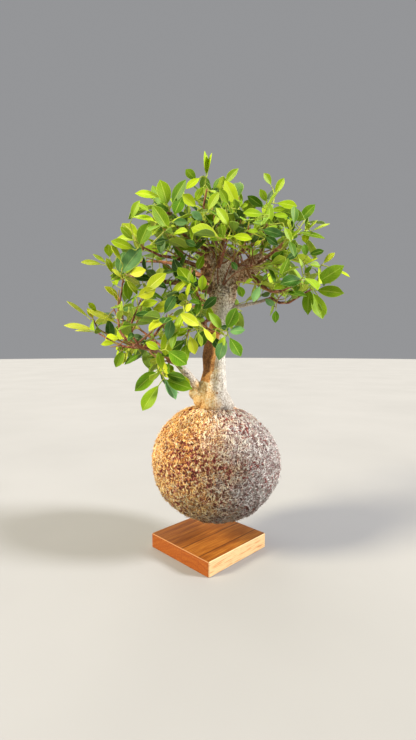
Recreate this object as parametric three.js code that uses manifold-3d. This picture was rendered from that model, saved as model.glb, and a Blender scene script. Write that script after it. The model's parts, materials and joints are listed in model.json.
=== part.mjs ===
// A kokedama: a small fig tree that grows in a ball of dried moss fibre, which floats over a wooden base.
// Magnets in the base carry the magnet in the ball. Millimetres, +Z up. The origin is the middle of the
// base's underside, and the tree's front faces -Y.
import * as THREE from 'three';
import { mergeVertices } from 'three/addons/utils/BufferGeometryUtils.js';
import Module from 'manifold-3d';

const wasm = await Module();
wasm.setup();

// ---------------------------------------------------------------- Driving dimensions

const gap = 0.3; // between neighbouring pieces
const overcut = 1; // how far a cutting solid runs past the faces that it cuts
const weld = 1e-4; // points closer than this are one
const up = new THREE.Vector3(0, 0, 1);
const skew = new THREE.Vector3(0.31, 0.87, 0.38); // along no limb: where a tube's first corner points
const facets = (radius) => 12 + 2 * Math.round(0.3 * radius); // round a turned piece

// The base is a square block with one corner to the front. Its wall and roof enclose the drive.
const base = { side: 100, height: 17.5, turn: Math.PI / 4, corner: 1.5, chamfer: 0.8, wall: 8, roof: 4 };
const cover = { thickness: 2.5 };
const board = { side: 66, thickness: 1.6, bottom: 3 };
const ring = { outer: 35, inner: 25, height: 7.5 };
const coil = { outer: 9, inner: 3.5, height: 7, offset: 10 };
const inlet = { radius: 3.9, length: 12, height: 9, inset: 0.5, mouth: 2.8, depth: 9, pin: 1, pinInset: 1 };

// The ball is a lumpy ellipsoid: a rind of moss over a core of soil, with the lifting magnet at its foot.
const ball = {
  centre: new THREE.Vector3(9, 0, 109.5), radius: 77, halfHeight: 69.3, rind: 9,
  outerFaces: [22, 13], innerFaces: [12, 7],
};
const liftMagnet = { radius: 20, height: 8, bottom: 54 };

// How far the ball's surface stands in or out, as shares of its size: a slack shoulder in one direction, a
// full underside, and two sizes of lump.
const lumps = { slack: 0.06, full: 0.022, broad: 0.014, small: 0.009 };
const shoulder = new THREE.Vector3(0.55, 0, 0.83);

// The trunk from its root plug to its cut top, as height, middle in x and radius. It is round up to the
// moss, and grooved between its two grown-together stems above it.
const trunkRings = [
  [138, 8, 12], [162, 9, 18], [178, 8.5, 23], [187, 5.5, 21.5], [196, 4, 18.5], [208, 6, 15.7],
  [220, 7, 13.6], [236, 6.5, 14.2], [255, 8, 12], [275, 12, 11], [292, 17, 12], [306, 17, 16.5],
  [320, 17.5, 17.5], [336, 16.5, 17], [350, 11, 13.5], [363, 6, 8.5], [369, 5, 5],
];
const bark = {
  sides: 16, groove: 0.16, backShare: 0.7, lobes: 0.055, wind: 90, ripple: 21,
  roundBelow: 182, fullAbove: 200,
};
const rootHole = { margin: 0.4, above: 10 };

// Each limb is a list of points with a radius, from inside the wood it grows from to its end.
const limbs = {
  low_left: [[-1, 0, 191, 7.5], [-14, -6, 201, 6.2], [-27, -14, 218, 4.8], [-39, -24, 232, 4],
    [-53, -32, 242, 3.2], [-69, -36, 248, 2.6], [-85, -36, 250, 2.1]],
  low_left_tip: [[-69, -36, 248, 2.1], [-89, -34, 247, 1.9], [-104, -28, 251, 1.7], [-130, -12, 264, 1.2]],
  low_left_rise: [[-80, -36, 249, 2.2], [-97, -36, 261, 2], [-101, -35, 278, 1.8], [-94, -44, 317, 1.2]],
  low_left_inner: [[-77, -38, 249, 2], [-86, -42, 262, 1.9], [-84, -45, 275, 1.7], [-80, -46, 284, 1.4]],
  low_left_front: [[-67, -36, 248, 2.2], [-57, -48, 264, 1.8], [-42, -71, 275, 1.2]],
  low_left_back: [[-38, -20, 231, 2.6], [-60, 10, 250, 2.2], [-88, 35, 270, 1.8], [-107, 52, 281, 1.2]],
  low_hanging: [[-32, -17, 224, 2.2], [-44, -31, 233, 1.8], [-51, -45, 230, 1.2]],
  mid_left: [[9, 0, 314, 5.5], [-11, -14, 316, 4.5], [-26, -22, 320, 4], [-44, -22, 322, 3.2],
    [-66, -16, 324, 2.4], [-110, 0, 337, 1.2]],
  up_left_low: [[9, 0, 330, 3.5], [-7, -14, 339, 3], [-23, -28, 343, 2.6], [-38, -38, 346, 2.2],
    [-53, -44, 347, 1.8], [-69, -50, 354, 1.2]],
  up_left_mid: [[6, 0, 349, 3.4], [-9, -18, 356, 2.8], [-23, -34, 358, 2.2], [-43, -60, 368, 1.2]],
  up_left_high: [[6, 0, 358, 3.2], [-10, -14, 365, 2.6], [-26, -26, 371, 2.1], [-43, -36, 394, 1.2]],
  top: [[5, 0, 361, 3.6], [6, -6, 378, 2.8], [-1, -10, 395, 2.2], [-6, -11, 410, 1.8], [-2, -10, 431, 1.2]],
  top_right: [[10, 0, 358, 3.4], [18, -20, 370, 2.6], [27, -34, 378, 1.9], [32, -43, 389, 1.2]],
  up_right: [[16, 0, 344, 3.6], [33, -16, 356, 3], [50, -26, 362, 2.4], [59, -32, 374, 1.8],
    [65, -32, 393, 1.2]],
  stub: [[18, 0, 328, 10], [39, -8, 337, 8], [57, -14, 346, 6.5]],
  right_high: [[55, -12, 345, 3], [72, -10, 356, 2.4], [87, -5, 366, 1.9], [101, 3, 380, 1.2]],
  right_front: [[52, -12, 343, 2.6], [64, -38, 346, 2.2], [76, -74, 354, 1.2]],
  right_mid: [[48, -12, 340, 2.4], [56, -28, 321, 2.2], [73, -36, 308, 1.9], [96, -58, 316, 1.2]],
  right_low: [[19, 0, 293, 3.4], [42, -6, 297, 2.6], [58, -10, 300, 2.2], [73, -14, 305, 2],
    [82, -16, 299, 1.9], [93, -18, 299, 1.8], [113, -25, 311, 1.2]],
  front_low: [[6, -4, 282, 3], [-3, -28, 277, 2.4], [-5, -48, 270, 1.9], [13, -65, 261, 1.2]],
  front_mid: [[6, -8, 303, 3], [-6, -30, 299, 2.2], [-12, -54, 304, 1.2]],
  front_high: [[10, -4, 338, 3.2], [14, -36, 344, 2.4], [18, -74, 353, 1.2]],
  back_left: [[4, 8, 323, 4.5], [-24, 45, 348, 3.2], [-59, 70, 363, 2.4], [-92, 86, 367, 1.2]],
  back_right: [[16, 8, 323, 4], [48, 48, 346, 3], [81, 72, 361, 2.2], [102, 81, 365, 1.2]],
  back_up: [[8, 4, 352, 3.6], [9, 34, 386, 2.6], [7, 52, 410, 2], [5, 63, 432, 1.2]],
  back_low: [[11, 4, 290, 3.2], [10, 40, 301, 2.5], [-3, 66, 305, 2], [-16, 84, 305, 1.2]],
};

// Each spray of leaves: the limb that it ends, or the limb that its twig grows from, with how far along it
// and the twig's end, then the length of its leaves and its stems. Each stem has its heading, its reach to
// the last leaf's tip and its leaves.
const sprays = [
  { name: 'top_spire', limb: 'top', leaf: 33, tone: 'fresh',
    stems: [[-0.1, -0.1, 1, 44, 8]] },
  { name: 'left_high', limb: 'up_left_high', leaf: 36, tone: 'fresh',
    stems: [[-0.4, -0.3, 0.9, 38, 4], [-0.9, 0.1, 0.5, 44, 5], [0.5, 0.1, 0.9, 42, 4]] },
  { name: 'left_upper', limb: 'up_left_mid', leaf: 35, tone: 'fresh',
    stems: [[-0.7, -0.4, 0.6, 42, 4], [-0.3, -0.8, 0.6, 36, 4]] },
  { name: 'left_mid', limb: 'up_left_low', leaf: 34, tone: 'fresh',
    stems: [[-0.8, -0.3, 0.6, 38, 4], [-0.2, -0.6, 0.8, 34, 4]] },
  { name: 'left_dark', limb: 'low_left_rise', leaf: 39, tone: 'deep',
    stems: [[0.3, -0.5, 0.8, 44, 4], [-0.5, -0.3, 0.8, 42, 4]] },
  { name: 'left_side', limb: 'mid_left', leaf: 33, tone: 'fresh',
    stems: [[-0.9, 0.1, 0.3, 44, 6]] },
  { name: 'left_round', limb: 'low_left_rise', along: 0.6, foot: [-110, -24, 294], leaf: 31, tone: 'green',
    stems: [[-0.6, 0.2, 0.8, 34, 4], [-0.3, -0.8, 0.5, 32, 3]] },
  { name: 'front_yellow', limb: 'low_left_inner', along: 0.9, foot: [-69, -62, 302], leaf: 32, tone: 'yellow',
    stems: [[0.4, -0.9, 0.3, 36, 5]] },
  { name: 'front_up', limb: 'front_mid', leaf: 34, tone: 'green',
    stems: [[0.1, -0.7, 0.7, 36, 5]] },
  { name: 'high_left', limb: 'top', along: 0.3, foot: [-10, -46, 387], leaf: 35, tone: 'fresh',
    stems: [[-0.6, -0.4, 0.7, 38, 4]] },
  { name: 'high_big', limb: 'top_right', leaf: 42, tone: 'fresh',
    stems: [[0, -0.2, 1, 54, 8]] },
  { name: 'high_front', limb: 'top_right', along: 0.5, foot: [6, -48, 386], leaf: 34, tone: 'fresh',
    stems: [[0.1, -0.6, 0.8, 38, 5]] },
  { name: 'front_high', limb: 'front_high', leaf: 36, tone: 'green',
    stems: [[-0.1, -0.7, 0.7, 40, 4], [-0.8, -0.6, 0.1, 38, 4]] },
  { name: 'right_top', limb: 'up_right', leaf: 36, tone: 'green',
    stems: [[-0.1, -0.2, 1, 48, 5], [0.9, 0.3, 0.4, 46, 5]] },
  { name: 'right_front_high', limb: 'up_right', along: 0.6, foot: [60, -62, 374], leaf: 35, tone: 'green',
    stems: [[-0.5, -0.5, 0.7, 40, 4], [0.7, -0.6, 0.4, 36, 4]] },
  { name: 'right_out', limb: 'right_high', leaf: 34, tone: 'green',
    stems: [[0.9, 0.1, 0.3, 52, 4], [0.5, 0.2, 0.8, 50, 4], [-0.3, 0.3, 0.9, 40, 3]] },
  { name: 'right_mid', limb: 'right_high', along: 0.7, foot: [110, -14, 347], leaf: 33, tone: 'deep',
    stems: [[0.6, -0.2, 0.8, 36, 5]] },
  { name: 'right_tip', limb: 'right_low', leaf: 37, tone: 'fresh',
    stems: [[0.9, -0.1, 0.4, 52, 5], [0.5, -0.4, -0.8, 42, 4]] },
  { name: 'right_dark', limb: 'right_mid', leaf: 38, tone: 'deep',
    stems: [[-0.6, -0.8, 0, 42, 4], [0.4, -0.7, 0.6, 38, 4]] },
  { name: 'right_centre', limb: 'right_front', leaf: 38, tone: 'deep',
    stems: [[-0.6, -0.8, 0.1, 40, 4], [0.5, -0.7, 0.5, 38, 4]] },
  { name: 'right_inner', limb: 'right_front', along: 0.5, foot: [84, -44, 336], leaf: 32, tone: 'green',
    stems: [[0.8, -0.5, 0.1, 32, 4]] },
  { name: 'centre_high', limb: 'up_right', along: 0.3, foot: [40, -76, 366], leaf: 36, tone: 'green',
    stems: [[0, -0.8, 0.6, 38, 4]] },
  { name: 'centre', limb: 'right_front', along: 0.3, foot: [42, -60, 334], leaf: 36, tone: 'deep',
    stems: [[-0.3, -0.9, 0.2, 40, 5]] },
  { name: 'right_hang', limb: 'right_mid', along: 0.35, foot: [54, -50, 314], leaf: 30, tone: 'green',
    stems: [[0.1, -0.7, -0.7, 32, 4]] },
  { name: 'right_under', limb: 'right_low', along: 0.5, foot: [76, -24, 293], leaf: 30, tone: 'green',
    stems: [[0.2, -0.5, -0.8, 36, 4]] },
  { name: 'front_fan', limb: 'front_low', leaf: 35, tone: 'green',
    stems: [[0.4, -0.6, 0.7, 38, 4], [0.7, -0.4, -0.6, 40, 4], [-0.2, -0.5, -0.8, 38, 3]] },
  { name: 'front_left', limb: 'front_mid', along: 0.7, foot: [-20, -56, 290], leaf: 34, tone: 'yellow',
    stems: [[-0.6, -0.7, 0.1, 38, 5]] },
  { name: 'yellow_left', limb: 'front_low', along: 0.7, foot: [-10, -70, 272], leaf: 33, tone: 'yellow',
    stems: [[-0.4, -0.8, 0.3, 42, 6]] },
  { name: 'yellow_hang', limb: 'front_low', along: 0.4, foot: [-22, -46, 265], leaf: 33, tone: 'yellow',
    stems: [[-0.1, -0.6, -0.8, 40, 5]] },
  { name: 'low_dark', limb: 'low_left_front', leaf: 34, tone: 'deep',
    stems: [[0.2, -0.6, -0.7, 38, 4], [0, -0.7, 0.7, 36, 4]] },
  { name: 'low_hang', limb: 'low_hanging', leaf: 38, tone: 'green',
    stems: [[-0.4, -0.2, -0.9, 58, 6], [0.4, -0.3, -0.9, 46, 4]] },
  { name: 'low_left_mid', limb: 'low_left_tip', along: 0.5, foot: [-97, -40, 243], leaf: 33, tone: 'green',
    stems: [[-0.7, -0.5, -0.5, 38, 4], [0.5, -0.6, -0.6, 36, 4]] },
  { name: 'far_left', limb: 'low_left_tip', leaf: 34, tone: 'fresh',
    stems: [[-1, 0.2, 0.1, 46, 4], [-0.7, 0.1, 0.7, 54, 5]] },
  { name: 'inner_left', limb: 'low_left_rise', along: 0.45, foot: [-92, -60, 284], leaf: 33, tone: 'green',
    stems: [[-0.3, -0.8, 0.5, 36, 5]] },
  { name: 'inner_dark', limb: 'low_left_front', along: 0.6, foot: [-44, -46, 290], leaf: 33, tone: 'deep',
    stems: [[-0.1, -0.6, 0.8, 36, 5]] },
  { name: 'back_low_left', limb: 'low_left_back', leaf: 35, tone: 'green',
    stems: [[-0.8, 0.4, 0.3, 46, 5], [-0.1, 0.9, -0.1, 44, 4]] },
  { name: 'back_side_left', limb: 'low_left_back', along: 0.55, foot: [-82, 44, 252], leaf: 34, tone: 'green',
    stems: [[-0.4, 0.5, -0.7, 42, 4], [0.5, 0.8, -0.2, 40, 4]] },
  { name: 'back_left', limb: 'back_left', leaf: 36, tone: 'green',
    stems: [[-0.8, 0.4, 0.2, 46, 5], [-0.1, 0.5, 0.9, 44, 4]] },
  { name: 'back_left_high', limb: 'back_left', along: 0.5, foot: [-48, 72, 392], leaf: 35, tone: 'fresh',
    stems: [[-0.5, 0.3, 0.8, 44, 4], [0.3, 0.8, 0.6, 42, 4]] },
  { name: 'back_left_side', limb: 'mid_left', along: 0.8, foot: [-86, 38, 336], leaf: 35, tone: 'green',
    stems: [[-0.8, 0.5, 0.4, 44, 5]] },
  { name: 'back_right', limb: 'back_right', leaf: 36, tone: 'green',
    stems: [[0.7, 0.5, 0.3, 44, 5], [-0.1, 0.6, 0.8, 42, 4]] },
  { name: 'back_right_high', limb: 'back_right', along: 0.5, foot: [62, 66, 390], leaf: 36, tone: 'fresh',
    stems: [[0.6, 0, 0.8, 42, 4], [-0.2, 0.8, 0.6, 44, 4]] },
  { name: 'back_right_low', limb: 'back_right', along: 0.65, foot: [84, 66, 326], leaf: 35, tone: 'green',
    stems: [[0.8, 0.1, -0.5, 44, 4], [0.1, 0.9, -0.3, 42, 4]] },
  { name: 'back_top', limb: 'back_up', leaf: 35, tone: 'fresh',
    stems: [[-0.4, 0.4, 0.8, 42, 4], [0.7, 0.3, 0.7, 42, 4]] },
  { name: 'back_middle', limb: 'back_up', along: 0.5, foot: [6, 84, 382], leaf: 36, tone: 'green',
    stems: [[-0.5, 0.9, 0.1, 44, 4], [0.7, 0.7, 0, 44, 4]] },
  { name: 'back_under', limb: 'back_low', leaf: 35, tone: 'green',
    stems: [[-0.7, 0.7, -0.1, 44, 4], [0.2, 0.8, -0.6, 42, 4]] },
  { name: 'back_under_right', limb: 'back_low', along: 0.5, foot: [36, 72, 300], leaf: 34, tone: 'green',
    stems: [[0.6, 0.8, -0.1, 44, 5]] },
];
const limb = { spanLength: 18, fewestSpans: 3, sides: [[3, 4], [6, 5], [Infinity, 8]] }; // sides by radius
const twig = { footRadius: 1.2, rootRadius: 1.6, sides: 3, spans: 2, bow: 0.35, lean: 0.3 };
const stem = { radius: 1.2, tipRadius: 0.9, sides: 3, shortest: 10, fork: 2.5 };

// A leaf's shape, as shares of its length, with its keel's depth and its sunk root in millimetres. Its width
// follows u (1-u)^0.8 along its blade, its edges rise over the midrib, and its end droops.
const leaf = {
  halfWidth: 0.235, petiole: 0.12, bluntness: 0.8, fold: 0.14, droop: 0.16, keel: 1.1, sunk: 0.6,
  stations: [0.36, 0.64, 0.87], bladeStart: 0.25, clearance: 0.45, towardsLight: 0.45,
};

// The leaves go round their stem by the golden angle, shorter and more upright towards its end.
const growth = {
  first: 0.3, last: 0.95, fullSize: 1.04, taper: 0.14, variety: 0.1, stemless: 0.72,
  golden: THREE.MathUtils.degToRad(137.5),
  spreadLow: THREE.MathUtils.degToRad(72), spreadTop: THREE.MathUtils.degToRad(34),
  spreadEnd: THREE.MathUtils.degToRad(6),
  turns: [0, 35, -35, 70, -70, 110, -110].map(THREE.MathUtils.degToRad),
};

// ---------------------------------------------------------------- Materials

const colours = {
  wood: '#c07a3a', board: '#1f5a36', copper: '#b8693a', magnet: '#8f9296', inlet: '#26262a',
  moss: '#a08a72', soil: '#4a3526', bark: '#a89a86',
  fresh: '#7fb043', green: '#4f8a36', deep: '#2f6a3a', yellow: '#b3bf3c',
};

function material(colour, roughness, metalness = 0) {
  return new THREE.MeshStandardMaterial({ color: colours[colour], roughness, metalness });
}

const materials = {
  wood: material('wood', 0.5),
  board: material('board', 0.6),
  copper: material('copper', 0.4, 0.9),
  magnet: material('magnet', 0.35, 0.9),
  inlet: material('inlet', 0.5),
  moss: material('moss', 0.95),
  soil: material('soil', 1),
  bark: material('bark', 0.85),
  fresh: material('fresh', 0.45),
  green: material('green', 0.45),
  deep: material('deep', 0.4),
  yellow: material('yellow', 0.5),
};

// ---------------------------------------------------------------- Solids and meshes

// A closed geometry as a solid that can be joined and cut.
function solid(geometry) {
  const bare = geometry.clone();
  bare.deleteAttribute('normal');
  bare.deleteAttribute('uv');
  const merged = mergeVertices(bare, weld);
  return new wasm.Manifold(new wasm.Mesh({
    numProp: 3,
    vertProperties: new Float32Array(merged.attributes.position.array),
    triVerts: new Uint32Array(merged.index.array),
  }));
}

function namedMesh(name, shape, surface) {
  const { numProp, vertProperties, triVerts } = shape.getMesh();
  const geometry = new THREE.BufferGeometry();
  geometry.setAttribute('position', new THREE.BufferAttribute(new Float32Array(vertProperties), numProp));
  geometry.setIndex(new THREE.BufferAttribute(new Uint32Array(triVerts), 1));
  geometry.computeVertexNormals();
  const mesh = new THREE.Mesh(geometry, surface);
  mesh.name = name;
  return mesh;
}

// A closed geometry through rings of points, each of which runs anticlockwise seen from the far end.
function loft(rings) {
  const sides = rings[0].length;
  const points = rings.flat();
  const last = points.length - sides;
  const faces = [];
  for (let start = 0; start < last; start += sides) {
    for (let side = 0; side < sides; side += 1) {
      const a = start + side;
      const b = start + ((side + 1) % sides);
      faces.push(a, b, b + sides, a, b + sides, a + sides);
    }
  }
  for (let side = 1; side < sides - 1; side += 1) {
    faces.push(0, side + 1, side, last, last + side, last + side + 1);
  }
  const geometry = new THREE.BufferGeometry().setFromPoints(points);
  geometry.setIndex(faces);
  return geometry;
}

// A tapered tube of few sides along a curve, with a radius for each part of its length.
function tube(curve, radiusAt, sides, spans) {
  const rings = [];
  const across = skew.clone();
  for (let span = 0; span <= spans; span += 1) {
    const along = span / spans;
    const middle = curve.getPoint(along);
    const tangent = curve.getTangent(along);
    across.addScaledVector(tangent, -across.dot(tangent)).normalize();
    const beside = tangent.clone().cross(across);
    const points = [];
    for (let side = 0; side < sides; side += 1) {
      const angle = (2 * Math.PI * side) / sides;
      points.push(middle.clone()
        .addScaledVector(across, Math.cos(angle) * radiusAt(along))
        .addScaledVector(beside, Math.sin(angle) * radiusAt(along)));
    }
    rings.push(points);
  }
  return solid(loft(rings));
}

function cylinder(radius, height, bottom, x = 0) {
  const geometry = new THREE.CylinderGeometry(radius, radius, height, facets(radius));
  geometry.rotateX(Math.PI / 2);
  geometry.translate(x, 0, bottom + height / 2);
  return solid(geometry);
}

function box(side, height, bottom) {
  const geometry = new THREE.BoxGeometry(side, side, height);
  geometry.translate(0, 0, bottom + height / 2);
  return solid(geometry);
}

// ---------------------------------------------------------------- Base

function roundedSquare(side, corner) {
  const half = side / 2;
  const inner = half - corner;
  const shape = new THREE.Shape();
  shape.absarc(inner, inner, corner, 0, Math.PI / 2);
  shape.absarc(-inner, inner, corner, Math.PI / 2, Math.PI);
  shape.absarc(-inner, -inner, corner, Math.PI, 1.5 * Math.PI);
  shape.absarc(inner, -inner, corner, 1.5 * Math.PI, 2 * Math.PI);
  return shape;
}

// The inlet lies along the block's +X, in the middle of one of the two sides that face away from the front.
function inletCylinder(radius, length, inset) {
  const geometry = new THREE.CylinderGeometry(radius, radius, length, facets(radius));
  geometry.rotateZ(Math.PI / 2);
  geometry.translate(base.side / 2 - inset - length / 2, 0, inlet.height);
  return solid(geometry);
}

function housing() {
  const outline = roundedSquare(base.side - 2 * base.chamfer, base.corner);
  const block = new THREE.ExtrudeGeometry(outline, {
    depth: base.height - 2 * base.chamfer,
    curveSegments: 3,
    bevelThickness: base.chamfer,
    bevelSize: base.chamfer,
    bevelSegments: 1,
  });
  block.translate(0, 0, base.chamfer);
  const pocketHeight = base.height - base.roof;
  return solid(block)
    .subtract(box(base.side - 2 * base.wall, pocketHeight + overcut, -overcut))
    .subtract(inletCylinder(inlet.radius + gap, inlet.length + overcut, -overcut));
}

function powerInlet() {
  const socket = inletCylinder(inlet.mouth, inlet.depth + overcut, -overcut);
  const pin = inletCylinder(inlet.pin, inlet.depth, inlet.pinInset);
  return inletCylinder(inlet.radius, inlet.length, inlet.inset).subtract(socket).add(pin);
}

function baseGroup() {
  const floor = base.side - 2 * base.wall - 2 * gap;
  const deck = board.bottom + board.thickness + gap;
  const group = new THREE.Group();
  group.rotation.z = base.turn;
  group.add(namedMesh('base_housing', housing(), materials.wood));
  group.add(namedMesh('base_cover', box(floor, cover.thickness, 0), materials.wood));
  group.add(namedMesh('circuit_board', box(board.side, board.thickness, board.bottom), materials.board));
  const magnet = cylinder(ring.outer, ring.height, deck)
    .subtract(cylinder(ring.inner, ring.height + 2 * overcut, deck - overcut));
  group.add(namedMesh('ring_magnet', magnet, materials.magnet));
  const winding = cylinder(coil.outer, coil.height, deck)
    .subtract(cylinder(coil.inner, coil.height + 2 * overcut, deck - overcut));
  [[1, 1], [-1, 1], [-1, -1], [1, -1]].forEach(([x, y], index) => {
    const mesh = namedMesh(`coil_${index + 1}`, winding, materials.copper);
    mesh.position.set(x * coil.offset, y * coil.offset, 0);
    group.add(mesh);
  });
  group.add(namedMesh('power_inlet', powerInlet(), materials.inlet));
  return group;
}

// ---------------------------------------------------------------- Ball

// How far the ball's surface reaches in a direction, against its ellipsoid.
function lumpiness(n) {
  const slack = lumps.slack * Math.max(0, n.dot(shoulder)) ** 6;
  const full = lumps.full * Math.max(0, -n.z);
  const broad = lumps.broad * Math.sin(5 * n.x + 3 * n.y + 1) * Math.sin(4 * n.z + 6 * n.y);
  const small = lumps.small * Math.sin(11 * n.x + 2) * Math.sin(9 * n.y + 8 * n.z);
  return 1 - slack + full + broad + small;
}

function ballSolid(inset, faces) {
  const geometry = new THREE.SphereGeometry(1, ...faces);
  geometry.rotateX(Math.PI / 2);
  const { position } = geometry.attributes;
  const n = new THREE.Vector3();
  for (let index = 0; index < position.count; index += 1) {
    n.fromBufferAttribute(position, index);
    const reach = lumpiness(n);
    position.setXYZ(
      index,
      ball.centre.x + n.x * (ball.radius * reach - inset),
      ball.centre.y + n.y * (ball.radius * reach - inset),
      ball.centre.z + n.z * (ball.halfHeight * reach - inset),
    );
  }
  return solid(geometry);
}

// ---------------------------------------------------------------- Trunk, limbs and twigs

// The trunk's radius round its middle, as a share: round in the moss, then two main lobes with a groove
// between them at the front and back, which winds slowly as it climbs.
function trunkShape(angle, height) {
  const fade = THREE.MathUtils.smoothstep(height, bark.roundBelow, bark.fullAbove);
  const wind = height / bark.wind;
  const front = Math.max(0, Math.cos(angle + Math.PI / 2 + 0.25 - 0.2 * wind)) ** 8;
  const back = Math.max(0, Math.cos(angle - Math.PI / 2 - 0.4 * wind)) ** 8;
  const lobes = Math.cos(3 * angle + wind) + Math.cos(5 * angle - 2 * wind + height / bark.ripple);
  return 1 + fade * (bark.lobes * lobes - bark.groove * (front + bark.backShare * back));
}

function trunkSolid(margin, rings) {
  const loops = rings.map(([height, x, radius]) => {
    const points = [];
    for (let side = 0; side < bark.sides; side += 1) {
      const angle = (2 * Math.PI * side) / bark.sides;
      const reach = (radius + margin) * trunkShape(angle, height);
      points.push(new THREE.Vector3(x + Math.cos(angle) * reach, Math.sin(angle) * reach, height));
    }
    return points;
  });
  return solid(loft(loops));
}

// The space for the trunk's root plug, a little wider and deeper than the plug.
function rootSocket() {
  const plug = trunkRings.filter(([height]) => height < bark.roundBelow);
  const [lowest, ...rest] = plug;
  const floor = [lowest[0] - rootHole.margin, lowest[1], lowest[2]];
  const [, x, radius] = plug.at(-1);
  const mouth = [ball.centre.z + ball.halfHeight + rootHole.above, x, radius];
  return trunkSolid(rootHole.margin, [floor, ...rest, mouth]);
}

function limbCurve(points) {
  return new THREE.CatmullRomCurve3(points.map(([x, y, z]) => new THREE.Vector3(x, y, z)));
}

function limbSolid(points) {
  const curve = limbCurve(points);
  const thickest = points[0][3];
  const radiusAt = (along) => {
    const place = along * (points.length - 1);
    const index = Math.min(Math.floor(place), points.length - 2);
    return THREE.MathUtils.lerp(points[index][3], points[index + 1][3], place - index);
  };
  const [, sides] = limb.sides.find(([radius]) => thickest <= radius);
  const spans = Math.max(limb.fewestSpans, Math.round(curve.getLength() / limb.spanLength));
  return tube(curve, radiusAt, sides, spans);
}

// Where a spray leaves the wood, and in which direction.
function sprayFoot(spray) {
  if (!spray.foot) {
    const curve = limbCurve(limbs[spray.limb]);
    return { foot: curve.getPoint(1), heading: curve.getTangent(1) };
  }
  const heading = new THREE.Vector3();
  spray.stems.forEach(([x, y, z]) => heading.add(new THREE.Vector3(x, y, z).normalize()));
  return { foot: new THREE.Vector3(...spray.foot), heading: heading.normalize() };
}

function twigSolid(spray) {
  const root = limbCurve(limbs[spray.limb]).getPoint(spray.along);
  const { foot, heading } = sprayFoot(spray);
  const bow = twig.bow * root.distanceTo(foot);
  const outward = foot.clone().sub(root).normalize().addScaledVector(heading, -twig.lean).normalize();
  const curve = new THREE.CubicBezierCurve3(
    root,
    root.clone().addScaledVector(outward, bow),
    foot.clone().addScaledVector(heading, -bow),
    foot,
  );
  const radiusAt = (along) => THREE.MathUtils.lerp(twig.rootRadius, twig.footRadius, along);
  return tube(curve, radiusAt, twig.sides, twig.spans);
}

// ---------------------------------------------------------------- Leaves

// Seeded draws between 0 and 1.
function draws(seed) {
  let state = seed;
  return () => {
    state = (Math.imul(state, 1664525) + 1013904223) >>> 0;
    return state / 2 ** 32;
  };
}

// A spray's first stem starts clear of the wood's end, and the others fork from it.
function stemLines(spray) {
  const { foot, heading } = sprayFoot(spray);
  const lines = [];
  spray.stems.forEach(([x, y, z, reach]) => {
    const onward = new THREE.Vector3(x, y, z).normalize();
    const tilt = onward.angleTo(heading);
    const start = foot.clone().addScaledVector(heading, gap + stem.radius * Math.sin(tilt));
    if (lines.length > 0) {
      start.copy(lines[0].at(stem.fork / lines[0].distance(), new THREE.Vector3()));
    }
    const length = Math.max(reach - growth.stemless * spray.leaf, stem.shortest);
    lines.push(new THREE.Line3(start, start.clone().addScaledVector(onward, length)));
  });
  return lines;
}

// A leaf's place: its root on the stem, its axis, the normal of its upper face, and its length.
function leafPlace(line, along, turn, spread, length) {
  const root = line.at(along, new THREE.Vector3());
  const tangent = line.delta(new THREE.Vector3()).normalize();
  const side = new THREE.Vector3(tangent.y, -tangent.x, 0).normalize();
  const front = tangent.clone().cross(side);
  const outward = side.multiplyScalar(Math.cos(turn)).addScaledVector(front, Math.sin(turn));
  const axis = tangent.clone().multiplyScalar(Math.cos(spread)).addScaledVector(outward, Math.sin(spread));
  const normal = tangent.clone().addScaledVector(up, leaf.towardsLight);
  normal.addScaledVector(axis, -normal.dot(axis)).normalize();
  return { root, axis, normal, length };
}

function leafHalfWidth(along) {
  const u = Math.max(0, (along - leaf.petiole) / (1 - leaf.petiole));
  const widest = 1 / (1 + leaf.bluntness);
  const shape = (v) => v * (1 - v) ** leaf.bluntness;
  return (leaf.halfWidth * shape(u)) / shape(widest);
}

// A closed geometry for a blade: its upper face inside an outline of a root, pairs of points and a tip,
// and its lower face drawn down to a keel point.
function blade(root, pairs, tip, keel) {
  const points = [root, ...pairs.flat(), tip, keel];
  const tipIndex = points.length - 2;
  const keelIndex = points.length - 1;
  const faces = [0, 2, 1, tipIndex - 1, tipIndex, tipIndex - 2];
  for (let left = 1; left < tipIndex - 2; left += 2) {
    faces.push(left + 1, left + 3, left + 2, left + 1, left + 2, left);
  }
  const leftEdge = pairs.map((_, index) => 2 * index + 1);
  const rightEdge = pairs.map((_, index) => 2 * index + 2);
  const outline = [0, ...rightEdge, tipIndex, ...leftEdge.reverse()];
  outline.forEach((point, index) => {
    faces.push(outline[(index + 1) % outline.length], point, keelIndex);
  });
  const geometry = new THREE.BufferGeometry().setFromPoints(points);
  geometry.setIndex(faces);
  return geometry;
}

// Its root is a point in the stem, or further out for the solid that only tests what the blade touches. A
// margin makes the solid that much larger all round.
function leafSolid({ root, axis, normal, length }, start, margin) {
  const side = normal.clone().cross(axis);
  const middle = (along) => root.clone()
    .addScaledVector(axis, length * along)
    .addScaledVector(normal, -leaf.droop * length * along * along);
  const pair = (along) => {
    const half = length * leafHalfWidth(along) + margin;
    const centre = middle(along).addScaledVector(normal, leaf.fold * half + margin);
    return [half, -half].map((reach) => centre.clone().addScaledVector(side, reach));
  };
  const foot = middle(start).addScaledVector(axis, -leaf.sunk);
  const tip = middle(1).addScaledVector(axis, margin);
  const keel = middle(leaf.stations[1]).addScaledVector(normal, -leaf.keel - margin);
  return solid(blade(foot, leaf.stations.map(pair), tip, keel));
}

function touches(piece, others) {
  return others.some((other) => (
    other.box.intersectsBox(piece.box) && piece.shape.intersect(other.shape).volume() > 0
  ));
}

function obstacle(shape) {
  const { min, max } = shape.boundingBox();
  return { shape, box: new THREE.Box3(new THREE.Vector3(...min), new THREE.Vector3(...max)) };
}

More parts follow.
